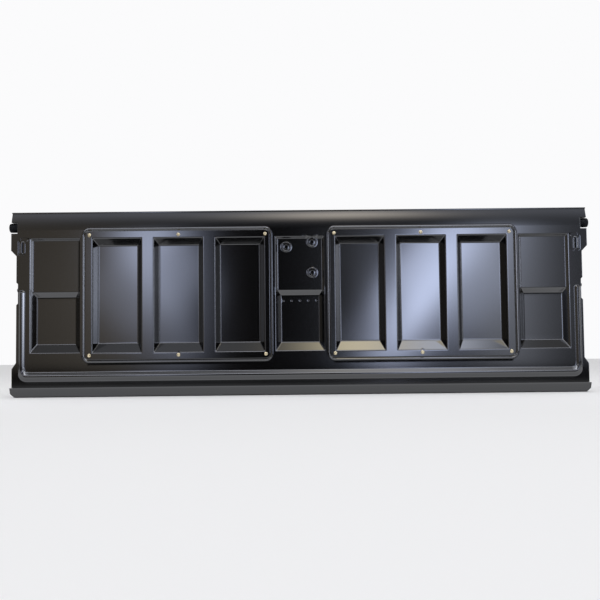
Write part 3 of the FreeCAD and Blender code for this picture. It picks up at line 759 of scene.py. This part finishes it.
    def walls(self, shell: Shell, up: Array) -> None:
        """Adds the bent side walls: each point of the outline is carried round the bend and back."""
        line = self.edge.line(up)
        out = corner_offsets(line)
        turn = np.linspace(0.0, math.pi / 2.0, 6)
        start = self.depth(line[:, 0], line[:, 1])
        rows = [np.stack([line[:, 0] + out[:, 0] * self.bend * math.sin(a),
                          start + self.bend * (1.0 - math.cos(a)),
                          line[:, 1] + out[:, 1] * self.bend * math.sin(a)], 1) for a in turn]
        edge = rows[-1]
        inner = np.stack([line[:, 0] + out[:, 0] * (self.bend - SIZES.sheet), edge[:, 1],
                          line[:, 1] + out[:, 1] * (self.bend - SIZES.sheet)], 1)
        fronts = np.array(rows)
        for side in Side:
            flip = np.array([side.value, 1.0, 1.0])
            right = side is Side.RIGHT
            shell.add_strip(fronts * flip, turned=not right)
            for source, inward in ((edge, False), (inner, True)):
                flat, faces = self.wall_grid(up, inward).layout()
                base = np.stack([np.interp(flat[:, 0], up, source[:, k]) for k in range(3)], 1)
                share = (flat[:, 1] - self.wall_start) / (self.wall_depth - self.wall_start)
                base[:, 1] += (self.wall_depth - base[:, 1]) * share
                base[:, 0] -= flat[:, 2]
                shell.add(base * flip, faces, turned=right != inward)
            rim = np.array([[*edge.T], [*inner.T]]).transpose(0, 2, 1)
            rim[:, :, 1] = self.wall_depth
            shell.add_strip(rim * flip, turned=right)

    def wall_grid(self, up: Array, inward: bool) -> Grid:
        """A wall's grid of height and depth with its bolt holes, whose edges the outer one carries."""
        near = (SIZES.bolt_depth - 6.0, SIZES.bolt_depth + 6.0, 3.0)
        grid = Grid(up, grid_lines(self.wall_start, self.wall_depth, 14.0, [near]))
        for radius, z in self.bolt_holes:
            rings = ((radius + 0.8, 0.0), (radius, 0.0), (radius, SIZES.sheet))
            grid.let_in(Eye((z, SIZES.bolt_depth), (6.0, 6.0), rings[:2] if inward else rings))
        return grid

    def build(self, paints: Paints) -> bpy.types.Object:
        """Makes the panel and stands it for its node."""
        shell = Shell()
        up = self.face(shell)
        self.walls(shell, up)
        piece = shell.make("pressed_inner_panel")
        paints.coat(piece, PRIMER)
        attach(piece, ROOT)
        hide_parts("inner_panel")
        return piece


@dataclass
class OuterSkin:
    """The crowned outer skin with its hems and the lipped handle opening."""

    bend: float = 2.4
    side_hem: float = 9.0
    top_bend: float = 2.6
    front_hem: float = 4.0
    handle: tuple = (0.0, 404.0, 236.0, 92.0)
    handle_radius: float = 14.0
    lip: float = 9.0
    edge: Edge = field(init=False)

    def __post_init__(self) -> None:
        """Works out the end outline."""
        corners = SIZES.outline(SIZES.rail_height)
        foot = [(SIZES.rail_half - SIZES.rail_end_cut, 0.0),
                (SIZES.rail_half, SIZES.rail_end_cut), (SIZES.rail_half, SIZES.rail_height)]
        corners = np.vstack([foot, corners])
        corners[-1, 1] = SIZES.height - self.top_bend
        self.edge = Edge(corners, self.bend)

    def waves(self, x: Array, z: Array) -> Array:
        """Faint waves of the big panel, a tenth of a millimetre high."""
        return 0.12 * (np.sin(x / 190.0 + 1.1) * np.sin(z / 83.0) - 1.0)

    def back_points(self, flat: Array) -> Array:
        """Points of the crowned sheet, kept inside the end outlines."""
        x, z, sink = flat.T
        reach = self.edge.half_width(z)
        x = np.clip(x, -reach, reach)
        return np.stack([x, SIZES.back_depth(z) + self.waves(x, z) - sink, z], 1)

    def build(self, paints: Paints) -> bpy.types.Object:
        """Makes the skin and stands it for its node."""
        shell = Shell()
        corners = self.edge.corners
        cx, cz, width, height = self.handle
        half = (width / 2.0, height / 2.0)
        bands = self.edge.bands()
        for s in (-1.0, 1.0):
            middle = cz + s * (half[1] - self.handle_radius)
            bands.append((middle - 28.0, middle + 28.0, 2.0))
        across = []
        for s in (-1.0, 1.0):
            middle = cx + s * (half[0] - self.handle_radius)
            across.append((middle - 28.0, middle + 28.0, 2.0))
        across.append((-800.0, 800.0, 14.0))
        up = grid_lines(corners[0, 1], corners[-1, 1], 10.0, bands)
        grid = Grid(grid_lines(-SIZES.rail_half, SIZES.rail_half, 6.0, across), up)
        radius = self.handle_radius
        core = (half[0] - radius, half[1] - radius)
        turn = np.linspace(0.0, math.pi / 2.0, 7)
        rings = [(radius + 3.0 * (1.0 - math.sin(a)), 3.0 * (1.0 - math.cos(a))) for a in turn]
        rings = [(radius + 6.0, 0.0), *rings, (radius, self.lip), (radius + SIZES.skin, self.lip)]
        grid.let_in(Eye((cx, cz), (half[0] + 10.0, half[1] + 10.0), tuple(rings), core=core))
        flat, faces = grid.layout()
        shell.add(self.back_points(flat), faces, turned=True)
        self.hems(shell, up)
        self.top(shell)
        piece = shell.make("crowned_outer_skin")
        paints.coat(piece, PRIMER)
        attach(piece, ROOT)
        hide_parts("outer_panel")
        return piece

    def hems(self, shell: Shell, up: Array) -> None:
        """Adds the side hems: the outline carried round the bend, forward, and in over the panel."""
        line = self.edge.line(up)
        out = corner_offsets(line)
        start = SIZES.back_depth(line[:, 1]) + self.waves(line[:, 0], line[:, 1])
        turn = np.linspace(0.0, math.pi / 2.0, 6)
        steps = [(self.bend * math.sin(a), start - self.bend * (1.0 - math.cos(a))) for a in turn]
        front = SIZES.back - self.side_hem + 0.0 * start
        steps += [(self.bend, front + 0.4), (self.bend - 0.2, front), (self.bend - SIZES.skin, front)]
        steps += [(self.bend - SIZES.skin, front + 3.0)]
        rows = np.array([np.stack([line[:, 0] + out[:, 0] * move, depth,
                                   np.maximum(line[:, 1] + out[:, 1] * move, 0.0)], 1)
                         for move, depth in steps])
        for side in Side:
            shell.add_strip(rows * [side.value, 1.0, 1.0], turned=side is Side.RIGHT)
        foot = self.edge.half_width(np.array([0.0]))[0]
        low = np.array([[[-foot, SIZES.back, 0.0], [foot, SIZES.back, 0.0]],
                        [[-foot, SIZES.back - SIZES.skin, 0.0], [foot, SIZES.back - SIZES.skin, 0.0]]])
        shell.add_strip(low)

    def top(self, shell: Shell) -> None:
        """Adds the hem over the top edge: round the back bend, along the top and down the front."""
        high = SIZES.height
        bend = self.top_bend
        turn = np.linspace(0.0, math.pi / 2.0, 7)
        back = float(SIZES.back_depth(np.array(high - bend)))
        front = float(SIZES.front_depth(np.array(high - self.front_hem))) - SIZES.skin
        profile = [(back - bend * (1.0 - math.cos(a)), high - bend * (1.0 - math.sin(a))) for a in turn]
        edge = 1.6
        profile += [(front + edge * (1.0 - math.sin(a)), high - edge * (1.0 - math.cos(a)))
                    for a in turn]
        profile += [(front, high - self.front_hem + 0.3), (front + 0.3, high - self.front_hem),
                    (front + SIZES.skin + 1.5, high - self.front_hem)]
        half = float(self.edge.half_width(np.array(high))) + self.bend
        x = np.linspace(-half + 3.0, half - 3.0, 120)
        x = np.concatenate([[-half, -half + 0.5], x, [half - 0.5, half]])
        depth, z = np.array(profile).T
        rows = np.stack([x[:, None] + 0.0 * depth, depth + 0.0 * x[:, None], z + 0.0 * x[:, None]], 2)
        middle = np.array([(back + front) / 2.0, high - 2.0])
        for end in (0, -1):
            rows[end, :, 1] += np.sign(middle[0] - rows[end, :, 1]) * 0.5
        shell.add_strip(rows, turned=True)
        for end, turned in ((0, True), (-1, False)):
            shell.add_fan(rows[end], turned=turned)


@dataclass
class BottomRail:
    """The folded rail along the foot of the gate."""

    bend: float = 3.0
    inner_depth: float = 48.0
    end_gap: float = 4.5

    def build(self, paints: Paints) -> bpy.types.Object:
        """Makes the rail: one section carried along X, with its foot raised at the cut ends.

        The section runs down the bent front, round the foot and along the bottom to the skin.
        """
        height, slope = SIZES.rail_height, SIZES.rail_slope
        lean = math.atan(slope)
        down = np.linspace(height - 0.25, self.bend * (1.0 - math.sin(lean)), 24)
        front = np.stack([SIZES.front_depth(down), down], 1)
        turn = np.linspace(lean, math.pi / 2.0, 7)[1:, None]
        centre = front[-1] + self.bend * np.array([math.cos(lean), math.sin(lean)])
        arc = centre - self.bend * np.hstack([np.cos(turn), np.sin(turn)])
        bottom = np.stack([np.linspace(arc[-1, 0], self.inner_depth, 8)[1:], np.zeros(7)], 1)
        section = np.vstack([front, arc, bottom, [[self.inner_depth, height - 0.25]],
                             [[front[0, 0] + 2.0, height - 0.25]]])
        half, cut = SIZES.rail_half - self.end_gap, SIZES.rail_end_cut
        x = half - cut + np.linspace(0.0, cut - 1.0, 12)
        x = np.concatenate([[half - cut - 1.0], x, [half - 0.4, half]])
        x = np.concatenate([-x[::-1], np.linspace(-half + cut + 2.0, half - cut - 2.0, 100), x])
        low = np.maximum(0.0, np.abs(x) - (half - cut))
        rows = np.stack([x[:, None] + 0.0 * section[:, 0], section[:, 0] + 0.0 * x[:, None],
                         np.maximum(section[:, 1], low[:, None])], 2)
        middle = np.array([0.0, 28.0, 20.0])
        for end in (0, -1):
            rows[end, :, 1:] += np.sign(middle[1:] - rows[end, :, 1:]) * [0.6, 0.3]
        shell = Shell()
        shell.add_strip(rows, closed=True)
        for end, turned in ((0, False), (-1, True)):
            shell.add_fan(rows[end], turned=turned)
        piece = shell.make("folded_bottom_rail", 40.0)
        paints.coat(piece, PRIMER)
        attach(piece, ROOT)
        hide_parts("bottom_rail")
        return piece


@dataclass
class AccessCover:
    """A screwed-on cover with three pressed pockets."""

    side: Side
    box: tuple = (85.5, 613.0, 104.5, 473.0)
    radius: float = 14.0
    face: float = 7.5
    lefts: tuple = (101.25, 276.25, 451.25)
    width: float = 140.5
    low: float = 124.5
    high: float = 452.0
    reach: float = 24.0
    side_run: float = 13.5
    top_run: float = 19.6
    bottom_run: float = 27.0
    side_bend: float = 0.10
    end_bend: float = 0.07
    screw_x: tuple = (98.5, 346.5, 600.0)
    screw_z: tuple = (117.5, 460.0)
    scallop: float = 8.4
    scallop_run: float = 9.0
    sheet: float = 1.0

    def pocket(self, x: Array, z: Array, left: float) -> Array:
        """Depth of one pocket: the least distance in from its sides, each over its own run."""
        sides = np.minimum(x - left, left + self.width - x) / self.side_run
        ends = soft_min((z - self.low) / self.bottom_run, (self.high - z) / self.top_run, 0.05)
        away = np.hypot(x - self.screw_x[1], z - self.screw_z[0]) - self.scallop
        ends = soft_min(ends, away / self.scallop_run, 0.1)
        share = np.clip(0.5 + (ends - sides) / 0.2, 0.0, 1.0)
        bend = self.end_bend + (self.side_bend - self.end_bend) * share
        return self.reach * soft_step(soft_min(sides, ends, 0.05), bend)

    def crown(self, x: Array, z: Array) -> Array:
        """Slight springback of each pocket floor, bulging towards the front in its middle."""
        bulge = np.zeros_like(x)
        height = (z - self.low) / (self.high - self.low)
        for number, left in enumerate(self.lefts):
            across = (x - left) / self.width
            window = np.clip(4.0 * across * (1.0 - across), 0.0, 1.0) * np.clip(
                4.0 * height * (1.0 - height), 0.0, 1.0)
            bulge = bulge + np.where((across > 0) & (across < 1), window, 0.0) * 0.35 * np.sin(
                2.0 + 1.7 * number + 5.0 * height)
        return bulge

    def depth(self, x: Array, z: Array) -> Array:
        """Depth of the cover's front anywhere on it, with its rim rolled back slightly."""
        depth = self.face + self.crown(x, z)
        for left in self.lefts:
            depth = depth + self.pocket(x, z, left)
        rim = inside_box(x, z, self.box, self.radius)
        return depth + 0.5 * soft_step(1.0 - rim / 1.2, 0.3)

    def build(self, paints: Paints) -> bpy.types.Object:
        """Makes the cover and stands it for its node."""
        left, right, low, high = self.box
        radius = self.radius
        across = [(left, left + radius, 0.7), (right - radius, right, 0.7)]
        for start in self.lefts:
            across += [(start - 3.0, start + self.side_run + 3.0, 1.2),
                       (start + self.width - self.side_run - 3.0, start + self.width + 3.0, 1.2)]
        across += [(self.screw_x[1] - 14.0, self.screw_x[1] + 14.0, 1.6)]
        up = [(low, low + radius, 0.7), (high - radius, high, 0.7),
              (self.low - 3.0, self.low + self.bottom_run + 3.0, 1.3),
              (self.high - self.top_run - 3.0, self.high + 3.0, 1.3)]
        grid = Grid(grid_lines(left, right, 8.0, across), grid_lines(low, high, 9.0, up))
        flat, faces = grid.layout()
        x, z, _ = flat.T
        into = np.clip(np.maximum(low + radius - z, z - high + radius), 0.0, radius)
        pull = radius - np.sqrt(np.maximum(radius * radius - into * into, 0.0))
        x = np.clip(x, left + pull, right - pull)
        points = np.stack([x * self.side.value, self.depth(x, z), z], 1)
        shell = Shell()
        shell.add(points, faces, turned=self.side is Side.LEFT)
        piece = shell.make(f"{self.side.word}_pocketed_cover", 40.0)
        wall = piece.modifiers.new("sheet", "SOLIDIFY")
        wall.thickness = self.sheet * MM
        wall.offset = -1.0
        paints.coat(piece, PRIMER)
        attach(piece, ROOT)
        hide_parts(f"{self.side.word}_access_cover")
        return piece

    def screws(self, paints: Paints) -> list:
        """Makes the six screws that hold the cover."""
        made = []
        for row, z in zip(("bottom", "top"), self.screw_z):
            for place, x in zip(("inner", "middle", "outer"), self.screw_x):
                name = f"{self.side.word}_cover_screw_{row}_{place}"
                made.append(CoverScrew(name, self.side.value * x, z).build(paints))
        return made


@dataclass
class CoverScrew:
    """A flanged button-head screw with a hexagon socket."""

    node: str
    x: float
    z: float
    seat: float = 7.5
    flange: float = 5.0
    head: float = 3.8
    socket: float = 1.8
    shank: float = 2.5
    length: float = 12.0
    turns: int = 36

    def build(self, paints: Paints) -> bpy.types.Object:
        """Turns the head's profile round its axis, and draws the socket in to a hexagon."""
        dome = np.linspace(0.0, math.pi / 2.0, 7)
        profile = [(self.shank, -self.length), (self.shank, 0.0), (self.flange - 0.2, 0.0),
                   (self.flange, 0.25), (self.flange - 0.1, 0.75), (self.flange - 0.4, 0.95),
                   (self.head + 0.1, 1.05)]
        profile += [(self.head - 1.5 * (1.0 - math.cos(a)), 1.2 + 2.35 * math.sin(a)) for a in dome]
        profile += [(self.socket + 0.15, 3.58), (self.socket, 3.4), (self.socket, 2.0), (0.4, 1.8)]
        rows = lathe(np.array(profile), self.turns)
        angle = np.arctan2(rows[-3:, :, 1], rows[-3:, :, 0])
        sixth = math.pi / 3.0
        hexagon = math.cos(sixth / 2.0) / np.cos(np.mod(angle, sixth) - sixth / 2.0)
        rows[-3:, :, :2] *= hexagon[:, :, None]
        points = np.stack([self.x + rows[:, :, 0], self.seat - rows[:, :, 2], self.z + rows[:, :, 1]], 2)
        shell = Shell()
        shell.add_strip(points, closed=True)
        shell.add_fan(points[-1])
        shell.add_fan(points[0], turned=True)
        piece = shell.make(f"dressed_{self.node}", 38.0)
        paints.coat(piece, YELLOW_ZINC)
        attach(piece, ROOT)
        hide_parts(self.node)
        return piece


@dataclass
class Bumper:
    """A conical rubber bumper pushed into the side bay by its stem."""

    side: Side
    seat: float = 805.2
    base: float = 13.5
    tip: float = 13.2
    length: float = 26.0
    stem: float = 4.0
    stem_length: float = 8.0

    def build(self, paints: Paints) -> bpy.types.Object:
        """Turns the bumper's profile: stem, flange, a shallow groove, the cone and its round tip."""
        turn = np.linspace(0.0, math.pi / 2.0, 9)
        round_tip = 4.5
        profile = [(self.stem - 0.6, -self.stem_length), (self.stem, -self.stem_length + 0.8),
                   (self.stem, 0.0), (self.base - 0.5, 0.0), (self.base, 0.6), (self.base, 4.4),
                   (self.base - 0.5, 4.9), (self.base - 0.9, 5.6), (self.base - 0.5, 6.3),
                   (self.base, 6.9)]
        profile += [(self.tip - round_tip * (1.0 - math.cos(a)),
                     self.length - round_tip * (1.0 - math.sin(a))) for a in turn]
        profile += [(2.2, self.length + 0.0), (1.7, self.length - 1.0), (0.4, self.length - 1.1)]
        shell = stand_out(profile, 48, self.side, self.seat, SIZES.bumper_z)
        piece = shell.make(f"{self.side.word}_rubber_bumper", 50.0)
        paints.coat(piece, RUBBER)
        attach(piece, ROOT)
        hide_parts(f"{self.side.word}_bumper")
        return piece


@dataclass
class CableStud:
    """A headed stud for a support cable, standing out of the side wall."""

    side: Side
    seat: float = 802.7
    head: float = 5.5
    reach: float = 6.5
    neck: float = 3.6
    shank: float = 4.0
    shank_length: float = 14.0

    def build(self, paints: Paints) -> bpy.types.Object:
        """Turns the stud's profile: shank, collar, waist for the cable's eye, and domed head."""
        profile = [(self.shank - 0.5, -self.shank_length), (self.shank, -self.shank_length + 0.6),
                   (self.shank, 0.0), (self.head - 0.3, 0.0), (self.head, 0.3), (self.head, 1.2),
                   (self.head - 0.4, 1.5), (self.neck + 0.3, 1.7), (self.neck, 2.1), (self.neck, 3.5),
                   (self.neck + 0.3, 3.9), (self.head - 0.5, 4.1), (self.head, 4.5), (self.head, 5.3),
                   (self.head - 0.5, 5.9), (self.head - 1.6, 6.3), (1.0, self.reach)]
        shell = stand_out(profile, 40, self.side, self.seat, SIZES.stud_z)
        piece = shell.make(f"{self.side.word}_cable_stud", 38.0)
        paints.coat(piece, BLACK_ZINC)
        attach(piece, ROOT)
        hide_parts(f"{self.side.word}_support_stud")
        return piece


# Studio.


@dataclass(frozen=True)
class Glow:
    """A soft patch of light on a card: place, spread and lean in metres, radiance and colour."""

    u: float
    v: float
    across: float
    up: float
    radiance: float
    colour: str = "#ffffff"
    lean: float = 0.0

    def shine(self, u: Array, v: Array) -> Array:
        """Radiance over the card, a bell curve in both directions whose middle line may lean."""
        off_u = (u - self.u - self.lean * (v - self.v)) / self.across
        off_v = (v - self.v) / self.up
        bell = self.radiance * np.exp(-0.5 * (off_u * off_u + off_v * off_v))
        return bell[:, None] * np.array(linear(self.colour)[:3])


@dataclass(frozen=True)
class Card:
    """A flat light card with soft patches, which only glossy surfaces see.

    A point of it is its corner plus u metres along one edge and v metres along the other.
    """

    name: str
    span: tuple
    corner: tuple
    edge_u: tuple
    edge_v: tuple
    base: float
    base_colour: str = "#ffffff"
    glows: tuple = ()

    def build(self) -> None:
        """Makes the card's grid and stores the light of each point on it."""
        lines = [np.linspace(low, high, 121) for low, high in self.span]
        flat, faces = Grid(*lines).layout()
        u, v = flat[:, 0], flat[:, 1]
        light = np.ones((u.size, 3)) * linear(self.base_colour)[:3] * self.base
        for glow in self.glows:
            light = light + glow.shine(u, v)
        points = np.array(self.corner) + np.outer(u, self.edge_u) + np.outer(v, self.edge_v)
        mesh = bpy.data.meshes.new(self.name)
        mesh.from_pydata(points.tolist(), [], faces[0].tolist())
        shade = mesh.attributes.new("shine", "FLOAT_COLOR", "POINT")
        colours = np.hstack([light, np.ones((u.size, 1))]).astype(np.float32)
        shade.data.foreach_set("color", colours.ravel())
        card = bpy.data.objects.new(self.name, mesh)
        bpy.context.scene.collection.objects.link(card)
        material = bpy.data.materials.new(f"light_{self.name}")
        material.use_nodes = True
        tree = material.node_tree
        tree.nodes.clear()
        shine = add_node(tree, "ShaderNodeAttribute", attribute_name="shine")
        lit = add_node(tree, "ShaderNodeEmission", {"Color": shine.outputs["Color"], "Strength": 1.0})
        add_node(tree, "ShaderNodeOutputMaterial", {"Surface": lit.outputs["Emission"]})
        mesh.materials.append(material)
        card.visible_camera = card.visible_diffuse = card.visible_shadow = False


ALONG_X, ALONG_Y, ALONG_Z = (1.0, 0.0, 0.0), (0.0, 1.0, 0.0), (0.0, 0.0, 1.0)
# Cool, neutral and warm light. The patches are set until the flat faces mirror glows much
# like those in the photograph; what stood in the real room isn't known.
COOL, NEUTRAL, WARM = "#d2deff", "#e8eeff", "#fff2e0"
CARDS = (
    Card("front_card", ((-4.0, 4.0), (0.0, 2.9)), (0.0, -4.4, 0.0), ALONG_X, ALONG_Z, 0.01, glows=(
        # Mirrored by the right-hand pockets and column.
        Glow(0.88, 0.45, 0.16, 0.42, 8.0, COOL, 0.5),
        Glow(1.22, 0.9, 0.26, 0.42, 7.0, COOL, 0.3),
        Glow(1.62, 0.6, 0.24, 0.8, 1.7, NEUTRAL),
        Glow(0.62, 0.6, 0.30, 0.7, 0.5, NEUTRAL),
        # Mirrored by the left-hand pockets and column.
        Glow(-0.90, 0.55, 0.16, 0.55, 1.6, COOL),
        Glow(-1.15, 0.95, 0.18, 0.35, 6.0, COOL),
        Glow(-1.45, 0.5, 0.40, 0.8, 0.5, WARM),
        # Mirrored by the slopes to both sides.
        Glow(-2.9, 1.0, 0.9, 2.0, 0.5, WARM),
        Glow(2.9, 1.0, 0.8, 2.0, 0.5, NEUTRAL),
        # Mirrored by the leaning top band.
        Glow(0.0, 2.9, 2.6, 0.5, 1.3, NEUTRAL),
        Glow(0.35, 2.5, 0.5, 0.22, 4.0, WARM),
    )),
    Card("ceiling_card", ((-4.0, 4.0), (0.0, 6.4)), (0.0, -4.4, 2.9), ALONG_X, ALONG_Y, 0.42,
         "#f6f6f8", (
        Glow(0.33, 4.05, 0.22, 0.7, 5.6, "#fff1cc"),
        Glow(0.85, 4.05, 0.22, 0.7, 4.6, "#e2eaff"),
        Glow(-0.75, 4.05, 0.35, 0.9, 0.3, "#dde6ff"),
        Glow(0.0, 1.7, 9.0, 0.33, 9.0, "#eef2ff"),
        Glow(0.7, 2.7, 0.6, 0.35, 2.2, "#f4f6ff"),
    )),
    Card("floor_card", ((-4.0, 4.0), (0.0, 4.388)), (0.0, -4.4, 0.002), ALONG_X, ALONG_Y, 0.01, glows=(
        Glow(0.0, 4.37, 20.0, 0.40, 1.8, "#f4f6fb"),
        Glow(0.0, 4.39, 20.0, 0.05, -0.7, "#f4f6fb"),
    )),
    Card("right_card", ((0.0, 4.3), (0.0, 2.9)), (4.0, -4.4, 0.0), ALONG_Y, ALONG_Z, 1.2, "#f0f4ff", (
        Glow(2.90, 0.8, 0.13, 0.5, 14.0, "#dfe8ff"),
        Glow(1.82, 0.8, 0.13, 0.5, 11.0, "#e8eeff"),
        Glow(4.20, 0.8, 0.20, 0.6, 2.5, "#dfe8ff"),
    )),
    Card("left_card", ((0.0, 4.3), (0.0, 2.9)), (-4.0, -4.4, 0.0), ALONG_Y, ALONG_Z, 0.4, "#fff4e4", (
        Glow(1.9, 0.6, 0.25, 0.7, 2.0, "#e8eeff"),
    )),
)


@dataclass(frozen=True)
class Lamp:
    """A soft rectangular lamp: place and target in metres, size in metres, radiance and colour."""

    name: str
    place: tuple
    target: tuple
    size: tuple
    radiance: float
    colour: str = "#ffffff"


LAMPS = (
    Lamp("overhead", (0.0, -0.8, 2.8), (0.0, -0.6, 0.0), (4.0, 3.0), 0.75),
    Lamp("front", (0.6, -4.6, 1.8), (0.0, 0.0, 0.3), (2.4, 1.6), 1.4),
)


class Studio:
    """Floor, cards, lamps, world and camera."""

    place: tuple = (-0.016, -2.62, 0.123)
    angles: tuple = (3.22, 0.344, -0.607)
    lens: float = 54.87
    room_light: float = 0.70

    def floor(self) -> None:
        """Adds the pale floor, a disc just under the gate."""
        turn = np.linspace(0.0, 2.0 * math.pi, 96, endpoint=False)
        radius = np.array([0.0005, 3.0, 9.0])
        rows = np.stack([radius[:, None] * np.cos(turn), radius[:, None] * np.sin(turn),
                         0.0 * radius[:, None] * turn], 2) / MM
        shell = Shell()
        shell.add_strip(rows - [0.0, FRONT_Y, 0.0], closed=True)
        floor = shell.make("floor")
        material = bpy.data.materials.new("pale_paper")
        material.use_nodes = True
        shader = material.node_tree.nodes["Principled BSDF"]
        shader.inputs["Base Color"].default_value = linear("#f4f4f5")
        shader.inputs["Roughness"].default_value = 0.9
        floor.data.materials.append(material)

    def lamps(self) -> None:
        """Hangs the lamps. A lamp's power is pi times its area times its radiance."""
        for lamp in LAMPS:
            light = bpy.data.lights.new(lamp.name, "AREA")
            light.shape = "RECTANGLE"
            light.size, light.size_y = lamp.size
            light.energy = math.pi * lamp.size[0] * lamp.size[1] * lamp.radiance
            light.color = linear(lamp.colour)[:3]
            holder = bpy.data.objects.new(lamp.name, light)
            bpy.context.scene.collection.objects.link(holder)
            place = np.array(lamp.place)
            holder.location = place
            ahead = Vector(np.array(lamp.target) - place)
            holder.rotation_euler = ahead.to_track_quat("-Z", "Y").to_euler()
            holder.visible_camera = holder.visible_glossy = False

    def world(self) -> None:
        """A pale room: white where it is seen or mirrored, and a plain level of light elsewhere."""
        world = bpy.data.worlds.new("pale_room")
        bpy.context.scene.world = world
        world.use_nodes = True
        tree = world.node_tree
        tree.nodes.clear()
        path = add_node(tree, "ShaderNodeLightPath").outputs
        seen = add_node(tree, "ShaderNodeMath", operation="MAXIMUM")
        tree.links.new(path["Is Camera Ray"], seen.inputs[0])
        tree.links.new(path["Is Glossy Ray"], seen.inputs[1])
        either = add_node(tree, "ShaderNodeMath", operation="MAXIMUM")
        tree.links.new(seen.outputs[0], either.inputs[0])
        tree.links.new(path["Is Transmission Ray"], either.inputs[1])
        level = add_node(tree, "ShaderNodeMapRange", {
            "Value": either.outputs[0], "To Min": self.room_light})
        back = add_node(tree, "ShaderNodeBackground", {
            "Color": linear("#fbfbfc"), "Strength": level.outputs["Result"]})
        add_node(tree, "ShaderNodeOutputWorld", {"Surface": back.outputs["Background"]})

    def camera(self) -> None:
        """Stands the camera where the photographer stood, by its pitch, yaw and roll in degrees."""
        data = bpy.data.cameras.new("camera")
        data.lens, data.sensor_width = self.lens, 36.0
        camera = bpy.data.objects.new("camera", data)
        bpy.context.scene.collection.objects.link(camera)
        pitch, yaw, roll = (math.radians(angle) for angle in self.angles)
        turn = (Matrix.Rotation(-yaw, 3, "Z") @ Matrix.Rotation(math.pi / 2.0 + pitch, 3, "X")
                @ Matrix.Rotation(roll, 3, "Z"))
        camera.location = self.place
        camera.rotation_euler = turn.to_euler()
        bpy.context.scene.camera = camera

    def build(self) -> None:
        """Sets up the whole studio."""
        bpy.context.scene.view_settings.view_transform = "Standard"
        self.floor()
        for card in CARDS:
            card.build()
        self.lamps()
        self.world()
        self.camera()


class Tailgate:
    """The whole gate, built round its CAD nodes."""

    def __init__(self, frame: dict) -> None:
        """Keeps the frame and starts the paints."""
        self.frame = frame
        self.paints = Paints()

    def dress_hidden(self) -> None:
        """Paints the CAD nodes that stay: the reinforcements behind the ears."""
        for side in Side:
            for part in ("latch_bracket", "hinge_plate"):
                self.paints.coat(self.frame["nodes"][f"{side.word}_{part}"], PRIMER)

    def build(self) -> None:
        """Builds every piece and logs it."""
        made = [InnerPanel().build(self.paints), OuterSkin().build(self.paints),
                BottomRail().build(self.paints)]
        for side in Side:
            cover = AccessCover(side)
            made += [cover.build(self.paints), *cover.screws(self.paints)]
            made += [Bumper(side).build(self.paints), CableStud(side).build(self.paints)]
        self.dress_hidden()
        for piece in made:
            LOG.info("%s: %d faces", piece.name, len(piece.data.polygons))


def corners(box: tuple) -> list:
    """The two corners of a box as plain lists."""
    return [list(corner) for corner in box]


def main() -> None:
    """Loads the frame and builds the gate and the studio."""
    logging.basicConfig(level=logging.INFO, format="%(message)s")
    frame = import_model()
    Tailgate(frame).build()
    Studio().build()


if __name__ == "__main__":
    main()
